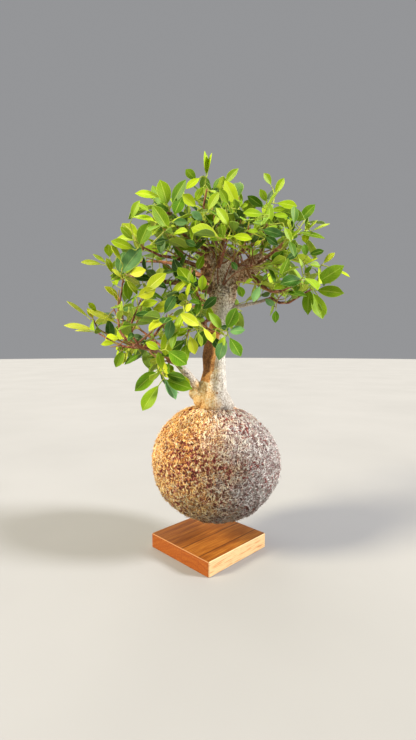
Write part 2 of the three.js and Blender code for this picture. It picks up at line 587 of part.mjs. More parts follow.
function sprayStems(lines) {
  const radiusAt = (along) => THREE.MathUtils.lerp(stem.radius, stem.tipRadius, along);
  const shapes = lines.map(({ start, end }) => (
    tube(new THREE.LineCurve3(start, end), radiusAt, stem.sides, 1)
  ));
  return shapes.reduce((joined, shape) => joined.add(shape));
}

// A spray's leaves. Each takes the first turn round the stem that clears the other pieces.
function sprayLeaves(spray, lines, seed, others, own) {
  const draw = draws(seed);
  const leaves = [];
  spray.stems.forEach(([, , , , count], which) => {
    const firstTurn = 2 * Math.PI * draw();
    for (let index = 0; index < count; index += 1) {
      const along = THREE.MathUtils.lerp(growth.first, growth.last, index / (count - 1));
      const variety = 1 + growth.variety * (2 * draw() - 1);
      const size = spray.leaf * (growth.fullSize - growth.taper * along) * variety;
      const leaning = THREE.MathUtils.lerp(growth.spreadLow, growth.spreadTop, along);
      const spread = index === count - 1 ? growth.spreadEnd : leaning;
      const turn = firstTurn + growth.golden * index;
      const placed = (extra) => leafPlace(lines[which], along, turn + extra, spread, size);
      const fits = (extra) => {
        const whole = obstacle(leafSolid(placed(extra), 0, leaf.clearance));
        const blade = obstacle(leafSolid(placed(extra), leaf.bladeStart, leaf.clearance));
        return !touches(whole, others) && !touches(blade, own);
      };
      const extra = growth.turns.find(fits);
      if (extra !== undefined) {
        const shape = leafSolid(placed(extra), 0, 0);
        leaves.push(shape);
        own.push(obstacle(shape));
      }
    }
  });
  return leaves;
}

// ---------------------------------------------------------------- The whole object

function ballGroup() {
  const socket = rootSocket();
  const { radius, height, bottom } = liftMagnet;
  const rind = ballSolid(0, ball.outerFaces).subtract(ballSolid(ball.rind, ball.innerFaces)).subtract(socket);
  const magnetSpace = cylinder(radius + gap, 2 * height, bottom - height + gap, ball.centre.x);
  const core = ballSolid(ball.rind + gap, ball.innerFaces).subtract(socket).subtract(magnetSpace);
  const magnet = cylinder(radius, height, bottom, ball.centre.x);
  const group = new THREE.Group();
  group.add(namedMesh('moss_cover', rind, materials.moss));
  group.add(namedMesh('soil_core', core, materials.soil));
  group.add(namedMesh('lift_magnet', magnet, materials.magnet));
  return group;
}

function treeGroup() {
  const trunk = trunkSolid(0, trunkRings);
  const twigs = sprays.filter((spray) => spray.foot).map(twigSolid);
  const woody = [trunk, ...Object.values(limbs).map(limbSolid), ...twigs];
  const wood = woody.reduce((joined, shape) => joined.add(shape));
  const lines = sprays.map(stemLines);
  const stems = lines.map(sprayStems);
  const group = new THREE.Group();
  group.add(namedMesh('trunk_and_branches', wood, materials.bark));
  const fixed = woody.map(obstacle);
  const stemObstacles = stems.map(obstacle);
  const grown = [];
  sprays.forEach((spray, index) => {
    const others = [...fixed, ...stemObstacles.filter((_, other) => other !== index), ...grown];
    const own = [stemObstacles[index]];
    const leaves = sprayLeaves(spray, lines[index], index + 1, others, own);
    grown.push(...own.slice(1));
    const shape = leaves.reduce((joined, blade) => joined.add(blade), stems[index]);
    group.add(namedMesh(`spray_${spray.name}`, shape, materials[spray.tone]));
  });
  return group;
}

const kokedama = new THREE.Group();
kokedama.add(baseGroup(), ballGroup(), treeGroup());

export default kokedama;
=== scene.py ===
# The looks of a kokedama, a small fig tree in a ball of dried moss fibre that floats over a wooden base:
# its leaves, stems, bark, fibres and materials, around the solids of the frame. Metres, +Z up.
import json
import math
import random
from functools import partialmethod
from itertools import permutations

import bmesh
import bpy
import numpy as np
from mathutils import Matrix, Vector, noise
from mathutils.bvhtree import BVHTree


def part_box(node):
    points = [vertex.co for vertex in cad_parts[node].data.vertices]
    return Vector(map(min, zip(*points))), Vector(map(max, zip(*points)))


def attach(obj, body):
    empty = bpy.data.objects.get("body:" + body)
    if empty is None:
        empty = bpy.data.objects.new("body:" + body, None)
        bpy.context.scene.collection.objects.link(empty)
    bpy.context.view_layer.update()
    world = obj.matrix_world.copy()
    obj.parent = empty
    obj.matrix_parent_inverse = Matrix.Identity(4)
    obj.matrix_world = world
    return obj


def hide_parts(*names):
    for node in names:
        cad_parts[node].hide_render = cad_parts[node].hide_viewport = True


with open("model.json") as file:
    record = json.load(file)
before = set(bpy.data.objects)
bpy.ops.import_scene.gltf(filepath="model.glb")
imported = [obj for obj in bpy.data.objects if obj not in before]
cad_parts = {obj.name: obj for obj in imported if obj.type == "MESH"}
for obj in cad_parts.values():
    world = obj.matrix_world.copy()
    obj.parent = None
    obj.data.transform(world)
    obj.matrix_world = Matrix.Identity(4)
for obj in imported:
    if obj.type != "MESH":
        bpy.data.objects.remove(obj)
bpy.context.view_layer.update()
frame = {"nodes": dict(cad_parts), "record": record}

MM = 0.001
UP = Vector((0, 0, 1))
BODY = "root"

# ---------------------------------------------------------------- Camera, floor and light

SENSOR = 36
PICTURE_HEIGHT = 740
PICTURE_MIDDLE = (208, 370)
FOCAL_PIXELS = 413.4
CAMERA_PLACE = (-0.0007, -0.5003, 0.2476)
CAMERA_PITCH = math.radians(3.18)  # below the horizon
FLOOR_RADIUS = 9


def from_view(across, down, y):
    """The point at a depth that the camera sees at a place in its picture."""
    right, up = (across - PICTURE_MIDDLE[0]) / FOCAL_PIXELS, (PICTURE_MIDDLE[1] - down) / FOCAL_PIXELS
    ahead = math.cos(CAMERA_PITCH) + up * math.sin(CAMERA_PITCH)
    rise = up * math.cos(CAMERA_PITCH) - math.sin(CAMERA_PITCH)
    distance = (y - CAMERA_PLACE[1]) / ahead
    return Vector((CAMERA_PLACE[0] + right * distance, y, CAMERA_PLACE[2] + rise * distance))


def in_view(point):
    """The place in the camera's picture where it sees a point."""
    x, y, z = point - Vector(CAMERA_PLACE)
    ahead = y * math.cos(CAMERA_PITCH) - z * math.sin(CAMERA_PITCH)
    up = z * math.cos(CAMERA_PITCH) + y * math.sin(CAMERA_PITCH)
    return PICTURE_MIDDLE[0] + FOCAL_PIXELS * x / ahead, PICTURE_MIDDLE[1] - FOCAL_PIXELS * up / ahead


def encloses(outline, place):
    """Whether a closed outline goes round a place."""
    across, down = place
    odd = False
    for (x0, y0), (x1, y1) in zip(outline, outline[1:] + outline[:1]):
        if (y0 > down) != (y1 > down) and across < (x1 - x0) * (down - y0) / (y1 - y0) + x0:
            odd = not odd
    return odd


def in_scene(name, data):
    """A new object in the scene."""
    thing = bpy.data.objects.new(name, data)
    bpy.context.scene.collection.objects.link(thing)
    return thing


def make_camera():
    data = bpy.data.cameras.new("camera")
    data.lens = SENSOR * FOCAL_PIXELS / PICTURE_HEIGHT
    data.sensor_width = SENSOR
    data.clip_start = 0.01
    data.clip_end = 50
    camera = in_scene("camera", data)
    camera.location = CAMERA_PLACE
    camera.rotation_euler = (math.pi / 2 - CAMERA_PITCH, 0, 0)
    bpy.context.scene.camera = camera


# The lamps: each one's name, the place it shines from, its power, its width in degrees, and its colour.
LAMPS = (
    ("warm_left", (-1.7, -0.7, 1.1), 5.2, 18, (1, 0.91, 0.68)),
    ("white_right", (1.7, -0.4, 0.95), 4.9, 14, (0.99, 0.98, 0.98)),
    ("high_back", (-0.4, 1.2, 2.2), 1, 40, (1, 0.97, 0.92)),
)


def soft_sun(name, place, power, width, colour):
    """An even light from the direction of a place, as soft as a lamp of that angular width."""
    data = bpy.data.lights.new(name, "SUN")
    data.energy = power
    data.angle = math.radians(width)
    data.color = colour
    lamp = in_scene(name, data)
    lamp.location = place
    lamp.rotation_euler = Vector(place).to_track_quat("Z", "Y").to_euler()


def make_studio():
    world = bpy.data.worlds.new("studio")
    world.use_nodes = True
    sky = world.node_tree.nodes["Background"]
    sky.inputs["Color"].default_value = (0.88, 0.89, 0.92, 1)
    sky.inputs["Strength"].default_value = 0.34
    bpy.context.scene.world = world
    bpy.context.scene.view_settings.view_transform = "Standard"
    for lamp in LAMPS:
        soft_sun(*lamp)
    bpy.ops.mesh.primitive_circle_add(vertices=96, radius=FLOOR_RADIUS, fill_type="NGON")
    floor = bpy.context.object
    floor.name = "floor"
    floor.data.materials.append(floor_material())


# ---------------------------------------------------------------- Material nodes


def linear(code, alpha=1):
    """A colour written as RRGGBB, in linear light."""
    shares = [int(code[i:i + 2], 16) / 255 for i in (0, 2, 4)]
    return tuple(s / 12.92 if s <= 0.04045 else ((s + 0.055) / 1.055) ** 2.4 for s in shares) + (alpha,)


class Wire:
    """What one of a material's nodes gives, with short ways to lead it on through more nodes."""

    def __init__(self, nodes, socket):
        self.nodes, self.socket = nodes, socket

    def maths(self, operation, other=0.0):
        return self.nodes.add("Math", {"operation": operation}, {0: self, 1: other}, "Value")

    __add__ = partialmethod(maths, "ADD")
    __sub__ = partialmethod(maths, "SUBTRACT")
    __mul__ = partialmethod(maths, "MULTIPLY")
    __gt__ = partialmethod(maths, "GREATER_THAN")
    __abs__ = partialmethod(maths, "ABSOLUTE")
    most = partialmethod(maths, "MAXIMUM")
    least = partialmethod(maths, "MINIMUM")

    def zigzag(self):
        """It rises to a half and falls back, over and over."""
        return self.maths("PINGPONG", 0.5)

    def spread(self, low, high):
        """0 at low and 1 at high, eased between them."""
        inputs = {"Value": self, "From Min": low, "From Max": high}
        return self.nodes.add("MapRange", {"interpolation_type": "SMOOTHSTEP"}, inputs, "Result")

    def parts(self):
        """The X, Y and Z of a vector."""
        split = self.nodes.new("SeparateXYZ", {}, {0: self})
        return [Wire(self.nodes, output) for output in split.outputs]

    def distance(self, place=(0, 0, 0)):
        return self.nodes.add("VectorMath", {"operation": "DISTANCE"}, {0: self, 1: place}, "Value")

    def mapping(self, scale, turn=0.0, shift=(0, 0, 0)):
        inputs = {"Vector": self, "Scale": scale, "Rotation": (0, 0, turn), "Location": shift}
        return self.nodes.add("Mapping", {}, inputs, "Vector")

    def noise(self, scale, detail=3.0, roughness=0.55, distortion=0.0):
        inputs = {"Vector": self, "Scale": scale, "Detail": detail, "Roughness": roughness,
                  "Distortion": distortion}
        return self.nodes.add("TexNoise", {}, inputs, "Fac")

    def cells(self, scale, feature="F1"):
        inputs = {"Vector": self, "Scale": scale}
        return self.nodes.add("TexVoronoi", {"feature": feature}, inputs, "Distance")

    def ramp(self, *stops):
        """A colour ramp through (place, RRGGBB) stops."""
        node = self.nodes.new("ValToRGB", {}, {"Fac": self})
        elements = node.color_ramp.elements
        while len(elements) < len(stops):
            elements.new(0.5)
        for element, (place, code) in zip(elements, stops):
            element.position = place
            element.color = linear(code)
        return Wire(self.nodes, node.outputs["Color"])


class Nodes:
    """A material's node tree."""

    def __init__(self, name, **surface):
        self.material = bpy.data.materials.new(name)
        self.material.use_nodes = True
        self.tree = self.material.node_tree
        self.surface = self.tree.nodes["Principled BSDF"]
        for socket, value in surface.items():
            self.put(self.surface, socket.replace("_", " "), value)

    def put(self, node, name, value):
        """Sets a node's input to a value or a colour's code, or links it."""
        if isinstance(value, Wire):
            self.tree.links.new(value.socket, node.inputs[name])
        else:
            node.inputs[name].default_value = linear(value) if isinstance(value, str) else value

    def new(self, kind, settings, inputs):
        node = self.tree.nodes.new("ShaderNode" + kind)
        for name, value in settings.items():
            setattr(node, name, value)
        for name, value in inputs.items():
            self.put(node, name, value)
        return node

    def add(self, kind, settings, inputs, output):
        return Wire(self, self.new(kind, settings, inputs).outputs[output])

    def place(self):
        return self.add("TexCoord", {}, {}, "Object")

    def uv(self, layer):
        """Both parts of a UV layer."""
        return self.add("UVMap", {"uv_map": layer}, {}, "UV").parts()[:2]

    def attribute(self, name):
        return self.add("Attribute", {"attribute_name": name}, {}, "Fac")

    def mix(self, share, first, second):
        """The first colour where the share is 0, and the second where it is 1."""
        return self.add("Mix", {"data_type": "RGBA"}, {0: share, 6: first, 7: second}, 2)

    def finished(self, colour, height=None, strength=1.0, distance=0.0):
        """The material in its colour, with bumps where a height is given."""
        self.put(self.surface, "Base Color", colour)
        if height is not None:
            inputs = {"Height": height, "Strength": strength, "Distance": distance}
            self.put(self.surface, "Normal", self.add("Bump", {}, inputs, "Normal"))
        return self.material


def floor_material():
    nodes = Nodes("floor_matte", Roughness=0.9)
    return nodes.finished(nodes.place().noise(3).ramp((0.3, "a09f9f"), (0.7, "a6a5a5")))


# Each tone of blade: its darkest, middle and lightest green, its veins, and its underside.
BLADE_TONES = {
    "leaf_fresh": ("527e02", "98ba08", "d6e81a", "e2f066", "bccb5a"),
    "leaf_green": ("234c02", "60900a", "a4c61c", "c2dc56", "9fb754"),
    "leaf_deep": ("123206", "386612", "88c078", "a8c870", "86a75e"),
    "leaf_yellow": ("86a008", "bacb10", "e4ec36", "f2f47c", "d0d970"),
}
BLADE_GLOW = 0.22  # the share of light that comes through a blade
VEIN_PAIRS = 9
VEIN_SLANT = 2.6


def blade_material(slot):
    """Green that varies from leaf to leaf, with a pale midrib and side veins, a painted highlight along its
    edge, and a paler underside.
    """
    dark, middle, light, vein, under = BLADE_TONES[slot]
    nodes = Nodes(slot + "_blade", Roughness=0.51, Specular_IOR_Level=0.25)
    across, along = nodes.uv("leaf")
    seed, below = nodes.uv("tint")
    place = nodes.place()
    away = abs(across * 2 - 1)
    shade = seed * 0.75 + place.noise(90, 2) * 0.45
    green = shade.ramp((0.12, dark), (0.5, middle), (0.95, light))
    side_veins = (along * VEIN_PAIRS - away * VEIN_SLANT).zigzag().spread(0.1, 0)
    veins = (side_veins * 0.25).most(away.spread(0.09, 0.02) * 0.65)
    # painted highlight: a pale band along each blade's edge
    painted_rim_highlight = away.spread(0.9, 1) * 0.6
    top = nodes.mix(painted_rim_highlight, nodes.mix(veins, green, vein), vein)
    bottom = nodes.mix(veins, nodes.mix(0.55, green, under), vein)
    colour = nodes.mix(below.spread(0.4, 0.6), top, bottom)
    solid = Wire(nodes, nodes.surface.outputs["BSDF"])
    glow = nodes.add("BsdfTranslucent", {}, {"Color": nodes.mix(0.35, colour, light)}, "BSDF")
    both = nodes.add("MixShader", {}, {0: BLADE_GLOW, 1: solid, 2: glow}, "Shader")
    nodes.put(nodes.tree.nodes["Material Output"], "Surface", both)
    return nodes.finished(colour, place.noise(260, 1) - veins, 0.2, 0.2 * MM)


def stem_material():
    """Young wood: reddish brown at its foot and yellow-green at its end."""
    nodes = Nodes("young_stem", Roughness=0.5)
    place = nodes.place()
    age = nodes.uv("leaf")[1] + place.noise(160, 2) * 0.35
    colour = age.ramp((0.2, "7e4a30"), (0.5, "9f7440"), (0.85, "a9b33a"))
    return nodes.finished(colour, place.noise(1500, 2), 0.4, 0.2 * MM)


# Where the bark's colours change, in metres: each border is from where a change begins to where it is full.
HEAD = (0.3, 0.32)  # up to the rough brown head
OCHRE_SIDE = (0.03, 0.012)  # across, from the white side to the ochre one, a change that is partly painted white and warm light
OCHRE_EDGE = (-0.004, 0.006)  # and from the far left to it, above its foot
OCHRE_FOOT = (0.212, 0.202)
FLANK = ((-0.008, 0.002), (0.026, 0.006))  # the head's umber side, between two borders across
STUB = (0.022, 0.034)  # across, to the cut stub on the right
DARKER_FOOT = (0.215, 0.195)
LEFT_LIMB = ((-0.066, -0.04), (-0.012, -0.02))  # the pale low limb on the left, across
LEFT_LIMB_UP = ((0.196, 0.204), (0.26, 0.25))
RIGHT_LIMB = ((0.02, 0.03), (0.08, 0.05))  # the pale limbs on the right, across
RIGHT_LIMB_TOP = (0.312, 0.302)
BRANCH_TO_TRUNK = (0.18, 0.5)  # the shares of the greatest thickness between which twigs turn into trunk


def between(value, low, high):
    """1 between two borders and 0 outside them."""
    return value.spread(*low) * value.spread(*high)


def bark_material():
    """Pale speckled bark, ochre on one side and near white on the other, partly its own colour and partly
    painted warm and white light, rough and brown on the head, with bare brown heartwood on one face that is
    darkened as painted shade too, a painted highlight on the orange ridge along it, painted shade in the
    bark's hollows, darker towards its foot, and red-brown twigs."""
    nodes = Nodes("fig_bark", Roughness=0.85)
    place = nodes.place()
    x, _, z = place.parts()
    thick, painted_crevice_shade, heart, scar = map(nodes.attribute, ("thick", "painted_crevice_shade", "heart", "scar"))
    speckle = place.mapping((1, 1, 0.75)).noise(520, 4, 0.75)
    cloud = place.noise(70, 3, 0.6)
    tone = speckle * 0.8 + cloud * 0.25
    white = tone.ramp((0.38, "6f6459"), (0.46, "aaa093"), (0.54, "d0c9bd"), (0.66, "ece7dd"))
    ochre = tone.ramp((0.37, "875626"), (0.44, "cd964e"), (0.51, "ebc482"), (0.63, "fcecc4"))
    brown = tone.ramp((0.4, "54402c"), (0.45, "96795a"), (0.51, "c6b196"), (0.59, "f6ecdc"))
    umber = tone.ramp((0.38, "4f2c12"), (0.47, "96622e"), (0.56, "c98f54"), (0.68, "ecc892"))
    bare = tone.ramp((0.35, "3c220f"), (0.5, "6b431f"), (0.65, "8f5d2c"))
    lit = tone.ramp((0.38, "9a5a20"), (0.5, "dc9248"), (0.65, "f6c27a"))

    lean = x + place.noise(60, 3) * 0.026
    height = z + cloud * 0.02
    left, head = lean.spread(*OCHRE_SIDE), height.spread(*HEAD)
    # partly painted light: the left side ochre as if warm-lit, the right side near white as if white-lit
    lower = nodes.mix(left * lean.spread(*OCHRE_EDGE).most(z.spread(*OCHRE_FOOT)), white, ochre)
    bark = nodes.mix(head, lower, nodes.mix(between(lean, *FLANK), brown, umber))
    bark = nodes.mix(x.spread(*STUB) * head * 0.55, bark, umber)
    # painted highlight: an orange lit ridge along the edge of the heartwood
    ridge = nodes.mix(heart.spread(0.03, 0.14), bark, lit)
    # bare brown heartwood, darkened as painted shade too
    bark = nodes.mix(heart.spread(0.4, 0.66), ridge, bare)
    # darker and browner towards the trunk's foot
    foot_tone = nodes.mix(left, "7c6c5c", "a87a48")
    bark = nodes.mix(height.spread(*DARKER_FOOT) * 0.3, bark, foot_tone)
    bark = nodes.mix(scar.spread(0.4, 0.9), bark, "8d6a48")
    # painted shade: darker in the bark's hollows and creases
    bark = nodes.mix(painted_crevice_shade.spread(0.6, 1) * 0.75, bark, "3a2817")

    young = place.mapping((1, 1, 0.4)).noise(260, 4, 0.7)
    young = young.ramp((0.34, "40221a"), (0.46, "7a422c"), (0.57, "9a6444"), (0.7, "c8a082"))
    right_limb = between(x, *RIGHT_LIMB) * z.spread(*RIGHT_LIMB_TOP)
    young = nodes.mix(right_limb * 0.75, young, white)
    wood = nodes.mix(thick.spread(*BRANCH_TO_TRUNK), young, bark)
    left_limb = between(x, *LEFT_LIMB) * between(z, *LEFT_LIMB_UP)
    colour = nodes.mix(left_limb * 0.7, wood, white)
    return nodes.finished(colour, speckle + cloud * 0.5, 0.7, 0.9 * MM)


# Places on the ball and how far round them it is reddest, and darkest with painted shade, in metres.
REDDEST = ((-0.026, -0.066, 0.123), 0.015, 0.05)
PAINTED_SHADE_PATCH = ((0.02, -0.075, 0.105), 0.015, 0.06)
ASH_SIDE = (0.062, 0.112)  # across the ball, from the straw side to the grey one, a change that is partly painted warm and white light
BACK = (-0.05, 0.08)  # towards the back, where the straw side reaches further
PAINTED_SHADE_FOOT = (0.15, 0.076)  # down it, to where its painted shade is darkest


def near(place, spot):
    """1 near a spot and 0 away from it, with a ragged border."""
    middle, within, beyond = spot
    return (place.distance(middle) + place.noise(60, 3) * 0.03 - 0.015).spread(beyond, within)


def fibre_colour(nodes, pick, place):
    """The moss fibres' colour by a number from 0 to 1: straw on one side and ash grey on the other, partly
    their own colours and partly painted warm and white light, with red-brown dots, and painted shade that
    darkens them towards the foot and on a patch at the front."""
    x, y, z = place.parts()
    straw = pick.ramp((0, "46200e"), (0.1, "b4562e"), (0.24, "f6ac5c"), (0.5, "ffda88"), (0.75, "ffeeb8"),
                      (1, "fffbe0"))
    ash = pick.ramp((0, "342a30"), (0.1, "946258"), (0.24, "c8bab2"), (0.5, "e8e3de"), (0.75, "f6f4ee"),
                    (1, "fdfbf4"))
    rust = pick.ramp((0, "300a12"), (0.3, "7c1c24"), (0.6, "b04440"), (1, "e0947c"))
    stray = (pick * 7.3).zigzag()
    lean = x + place.noise(30, 4, 0.65) * 0.11 + stray * 0.08 - y.spread(*BACK) * 0.05
    # partly painted light: the straw left side as if warm-lit, the ash grey right side as if white-lit
    sides = nodes.mix(lean.spread(*ASH_SIDE), straw, ash)
    reddest = near(place, REDDEST)
    dots = place.noise(270, 2, 0.5) + reddest * 0.05
    redder = place.noise(34, 2).spread(0.45, 0.62).most(reddest)
    coloured = nodes.mix(dots.spread(0.545, 0.585) * (redder * 0.6 + 0.4), sides, rust)
    # painted shade: darker towards the ball's foot and on a patch at its front
    low = (z + place.noise(40, 3) * 0.05).spread(*PAINTED_SHADE_FOOT)
    painted_shade = (low * 0.85).most(near(place, PAINTED_SHADE_PATCH) * 0.55)
    return nodes.mix(painted_shade, coloured, nodes.mix(0.8, coloured, "38230f"))


def moss_material():
    """The dense mat under the loose fibres, painted darker as the shade that they cast on it."""
    nodes = Nodes("moss_mat", Roughness=0.95)
    place = nodes.place()
    fine = place.mapping((1, 1, 0.6), 0.6).noise(620, 5, 0.75, 1.5)
    coloured = fibre_colour(nodes, fine.spread(0.38, 0.85), place)
    # painted shade: the mat darkened under the fibres
    return nodes.finished(nodes.mix(0.4, coloured, "24150d"), fine, 1, 1.5 * MM)


def fibre_material():
    nodes = Nodes("moss_fibres", Roughness=0.8)
    place = nodes.place()
    clumps = place.noise(520, 2).spread(0.36, 0.66)
    pick = nodes.uv("tint")[0] * 0.75 - 0.04 + clumps * 0.46
    return nodes.finished(fibre_colour(nodes, pick, place))


GRAIN_TURN = math.radians(-45)  # the base's grain runs from its front corner to its right one
RING_SHIFT = (0, 24 * MM, 85 * MM)  # from the line under the base that the growth rings go round
BASE_HALF = 50 * MM
JOINTS = (-34 * MM, -6 * MM)  # where its staves meet, across the grain
JOINT_EDGE = (MM, 0.5 * MM)
STAVE_SHIFT = 4.7 * MM  # how far the rings of a stave are shifted from the last one's
EDGE = 0.4 * MM
PAINTED_EDGE_HIGHLIGHT, PAINTED_PALE_SIDES = 0.8 * MM, 1.2 * MM  # how far from an edge the painted highlight on the upper edges and the sides' painted pale colour begin
BASE_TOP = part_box("base_housing")[1].z


def skin(value, limit, depth):
    """1 close to a value's limit, and 0 from a depth under it."""
    return value.spread(limit - depth, limit - EDGE)


def wood_material(name, darkest, middle, lightest, pale):
    """Oiled wood with growth rings that show as straight grain on top and as arcs on its two redder ends,
    narrow dark pores, fine joints between its staves, the other two sides painted paler as painted light, and
    a painted highlight along its upper edges."""
    nodes = Nodes(name, Roughness=0.5, Specular_IOR_Level=0.3)
    place = nodes.place().mapping((1, 1, 1), GRAIN_TURN)
    along, across, z = place.parts()
    first, second = JOINTS
    stave = (across > first) + (across > second)
    radius = place.mapping((0, 1, 1), 0, RING_SHIFT).distance()
    warped = radius + place.mapping((0.12, 1, 1)).noise(45, 3) * 0.012 + stave * STAVE_SHIFT
    rings = nodes.add("TexNoise", {"noise_dimensions": "1D"}, {"W": warped, "Scale": 330, "Detail": 3}, "Fac")
    fine = place.mapping((0.06, 1, 1)).noise(700, 3, 0.6)
    colour = (rings * 0.35 + fine * 0.65).ramp((0.34, darkest), (0.5, middle), (0.66, lightest))
    ends, sides = (skin(abs(value), BASE_HALF, PAINTED_PALE_SIDES) for value in (along, across))
    gap = abs(across - first).least(abs(across - second)).spread(*JOINT_EDGE)
    colour = nodes.mix(gap * (ends * -0.6 + 0.8), colour, "4a230c")
    colour = nodes.mix(ends * 0.4, colour, "a04202")
    flush = nodes.mix(fine.spread(0.5, 0.66), pale, "d08a58")
    # painted light: the other two sides paler, with faint pinkish streaks
    colour = nodes.mix(sides * 0.85, colour, nodes.mix(0.2, flush, colour))
    pores = place.mapping((0.05, 1, 1)).noise(1300, 2)
    colour = nodes.mix(pores.spread(0.6, 0.72) * 0.3, colour, "6b3510")
    # painted highlight: a pale line along the upper edges
    edge = skin(abs(along).most(abs(across)), BASE_HALF, PAINTED_EDGE_HIGHLIGHT) * skin(z, BASE_TOP, PAINTED_EDGE_HIGHLIGHT)
    colour = nodes.mix(edge * (sides * 0.35 + 0.35), colour, pale)
    return nodes.finished(colour, fine - pores, 0.2, 0.3 * MM)


def soil_material():
    nodes = Nodes("soil", Roughness=1)
    crumbs = nodes.place().cells(330)
    return nodes.finished(crumbs.ramp((0.05, "1f140c"), (0.5, "47301e"), (0.9, "6b4d33")), crumbs, 1, 2 * MM)


def metal_material(name, dark, light, roughness):
    nodes = Nodes(name, Metallic=1.0, Roughness=roughness)
    brushed = nodes.place().mapping((1, 1, 9)).noise(300, 3)
    return nodes.finished(brushed.ramp((0.3, dark), (0.7, light)), brushed, 0.15, 0.2 * MM)


def board_material():
    nodes = Nodes("board_lacquer", Roughness=0.35)
    tracks = nodes.place().mapping((1, 1, 0), GRAIN_TURN).cells(160, "DISTANCE_TO_EDGE").spread(0.08, 0.04)
    return nodes.finished(nodes.mix(tracks * 0.5, "0f4a26", "2f7d48"))


def plastic_material():
    nodes = Nodes("inlet_plastic", Roughness=0.45)
    mottle = nodes.place().noise(900, 3)
    return nodes.finished(mottle.ramp((0.3, "141416"), (0.7, "1e1e22")), mottle, 0.15, 0.2 * MM)


# ---------------------------------------------------------------- Mesh building


class Shape:
    """Points and faces for one mesh, with each face's material and two UV places for each point."""

    def __init__(self):
        self.points, self.faces, self.slots, self.leaf, self.tint = [], [], [], [], []

    def add(self, points, faces, slot, leaf, tint):
        start = len(self.points)
        self.points.extend(points)
        self.faces.extend([start + corner for corner in face] for face in faces)
        self.slots.extend([slot] * len(faces))
        self.leaf.extend(leaf)
        self.tint.extend(tint)

    def piece(self, name, materials):
        mesh = bpy.data.meshes.new(name)
        mesh.from_pydata([tuple(p) for p in self.points], [], self.faces)
        mesh.polygons.foreach_set("material_index", self.slots)
        corners = np.zeros(len(mesh.loops), int)
        mesh.loops.foreach_get("vertex_index", corners)
        for layer, places in (("leaf", self.leaf), ("tint", self.tint)):
            uv = mesh.uv_layers.new(name=layer)
            uv.data.foreach_set("uv", np.asarray(places, np.float32)[corners].ravel())
        return finished_piece(name, mesh, materials)


SHARP = math.radians(50)


def finished_piece(name, mesh, materials):
    """A smooth-shaded piece of the object that rides on its one body."""
    for material in materials:
        mesh.materials.append(material)
    mesh.shade_smooth()
    mesh.set_sharp_from_angle(angle=SHARP)
    piece = in_scene(name, mesh)
    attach(piece, BODY)
    return piece


def square_to(way, vector):
    """The part of a vector that is at right angles to a direction."""
    return vector - way * vector.dot(way)


def add_tube(shape, path, radii, sides, slot, leaf, tint):
    """A closed tube along a path, with a radius and a UV place for each of its rings."""
    across = Vector((0.31, 0.87, 0.38))
    points, uvs = [], []
    for index, place in enumerate(path):
        tangent = (path[min(index + 1, len(path) - 1)] - path[max(index - 1, 0)]).normalized()
        across = square_to(tangent, across).normalized()
        beside = tangent.cross(across)
        for side in range(sides):
            angle = 2 * math.pi * side / sides
            offset = across * math.cos(angle) + beside * math.sin(angle)
            points.append(place + offset * radii[index])
            uvs.append(leaf[index])
    faces = [list(range(sides))[::-1]]
    for start in range(0, len(points) - sides, sides):
        for side in range(sides):
            a, b = start + side, start + (side + 1) % sides
            faces.append([a, b, b + sides, a + sides])
    faces.append([len(points) - sides + side for side in range(sides)])
    shape.add(points, faces, slot, uvs, [tint] * len(points))


def smooth_path(points, between=3):
    """A Catmull-Rom curve through points."""
    padded = [2 * points[0] - points[1], *points, 2 * points[-1] - points[-2]]
    curve = []
    for a, b, c, d in zip(padded, padded[1:], padded[2:], padded[3:]):
        for step in range(between):
            t = step / between
            curve.append(0.5 * (2 * b + (c - a) * t + (2 * a - 5 * b + 4 * c - d) * t * t
                                + (3 * b - a - 3 * c + d) * t ** 3))
    return curve + [points[-1]]


def lerp(first, last, share):
    return first + (last - first) * share


def add_shaft(shape, path, radii, sides, ages, draw):
    """A stem along a path. Its radius and its age go evenly from their first value to their last."""
    shares = [index / (len(path) - 1) for index in range(len(path))]
    add_tube(shape, path, [lerp(*radii, share) for share in shares], sides, STEM,
             [(0.5, lerp(*ages, share)) for share in shares], (draw.random(), 0))


# ---------------------------------------------------------------- Leaves

# How a leaf of the frame is drawn: its keel point is so far under its midrib at a station along it, its
# edges stand so far over the midrib and its tip droops so far, as shares of its half width and length.
FRAME_KEEL = 1.1 * MM
FRAME_STATION = 0.64
FRAME_FOLD = 0.14
FRAME_DROOP = 0.16
FRAME_SLACK = 0.03 * MM
WELD = 0.002 * MM
IN_LINE = 0.1 * MM
STEM_SLACK = 1.12  # corners within so many radii of a line of leaves belong to its stem
PAST_LAST = 1.5 * MM  # how far a stem goes on past its last leaf

PETIOLE = 0.13
HALF_WIDTH = 0.225
BLADE_THICKNESS = 0.4 * MM
BIG_LEAF = 27 * MM  # a leaf longer than this has the finer grid
BIG_GRID, SMALL_GRID = (13, 7), (9, 5)  # rows along a blade and points across it
PETIOLE_RADIUS = 0.6 * MM
MIDRIB_STEPS = (0, 0.05, PETIOLE, 0.3, 0.5, 0.7, 0.88)
BLADE_MIDDLE = 0.55  # along a leaf
TONES = ("leaf_fresh", "leaf_green", "leaf_deep", "leaf_yellow")  # the leafy pieces' first materials
STEM = len(TONES)  # and their last
OWN_TONE_SHARE, OWN_YELLOW_SHARE = 0.4, 0.5
LIGHTEST_DEEP = 0.5
CROWN_MIDDLE = Vector((-0.005, 0, 0.33))
SHADED, SHADED_REACH = 0.9, 130 * MM  # painted shade: leaves are darker the nearer they are to the crown's middle


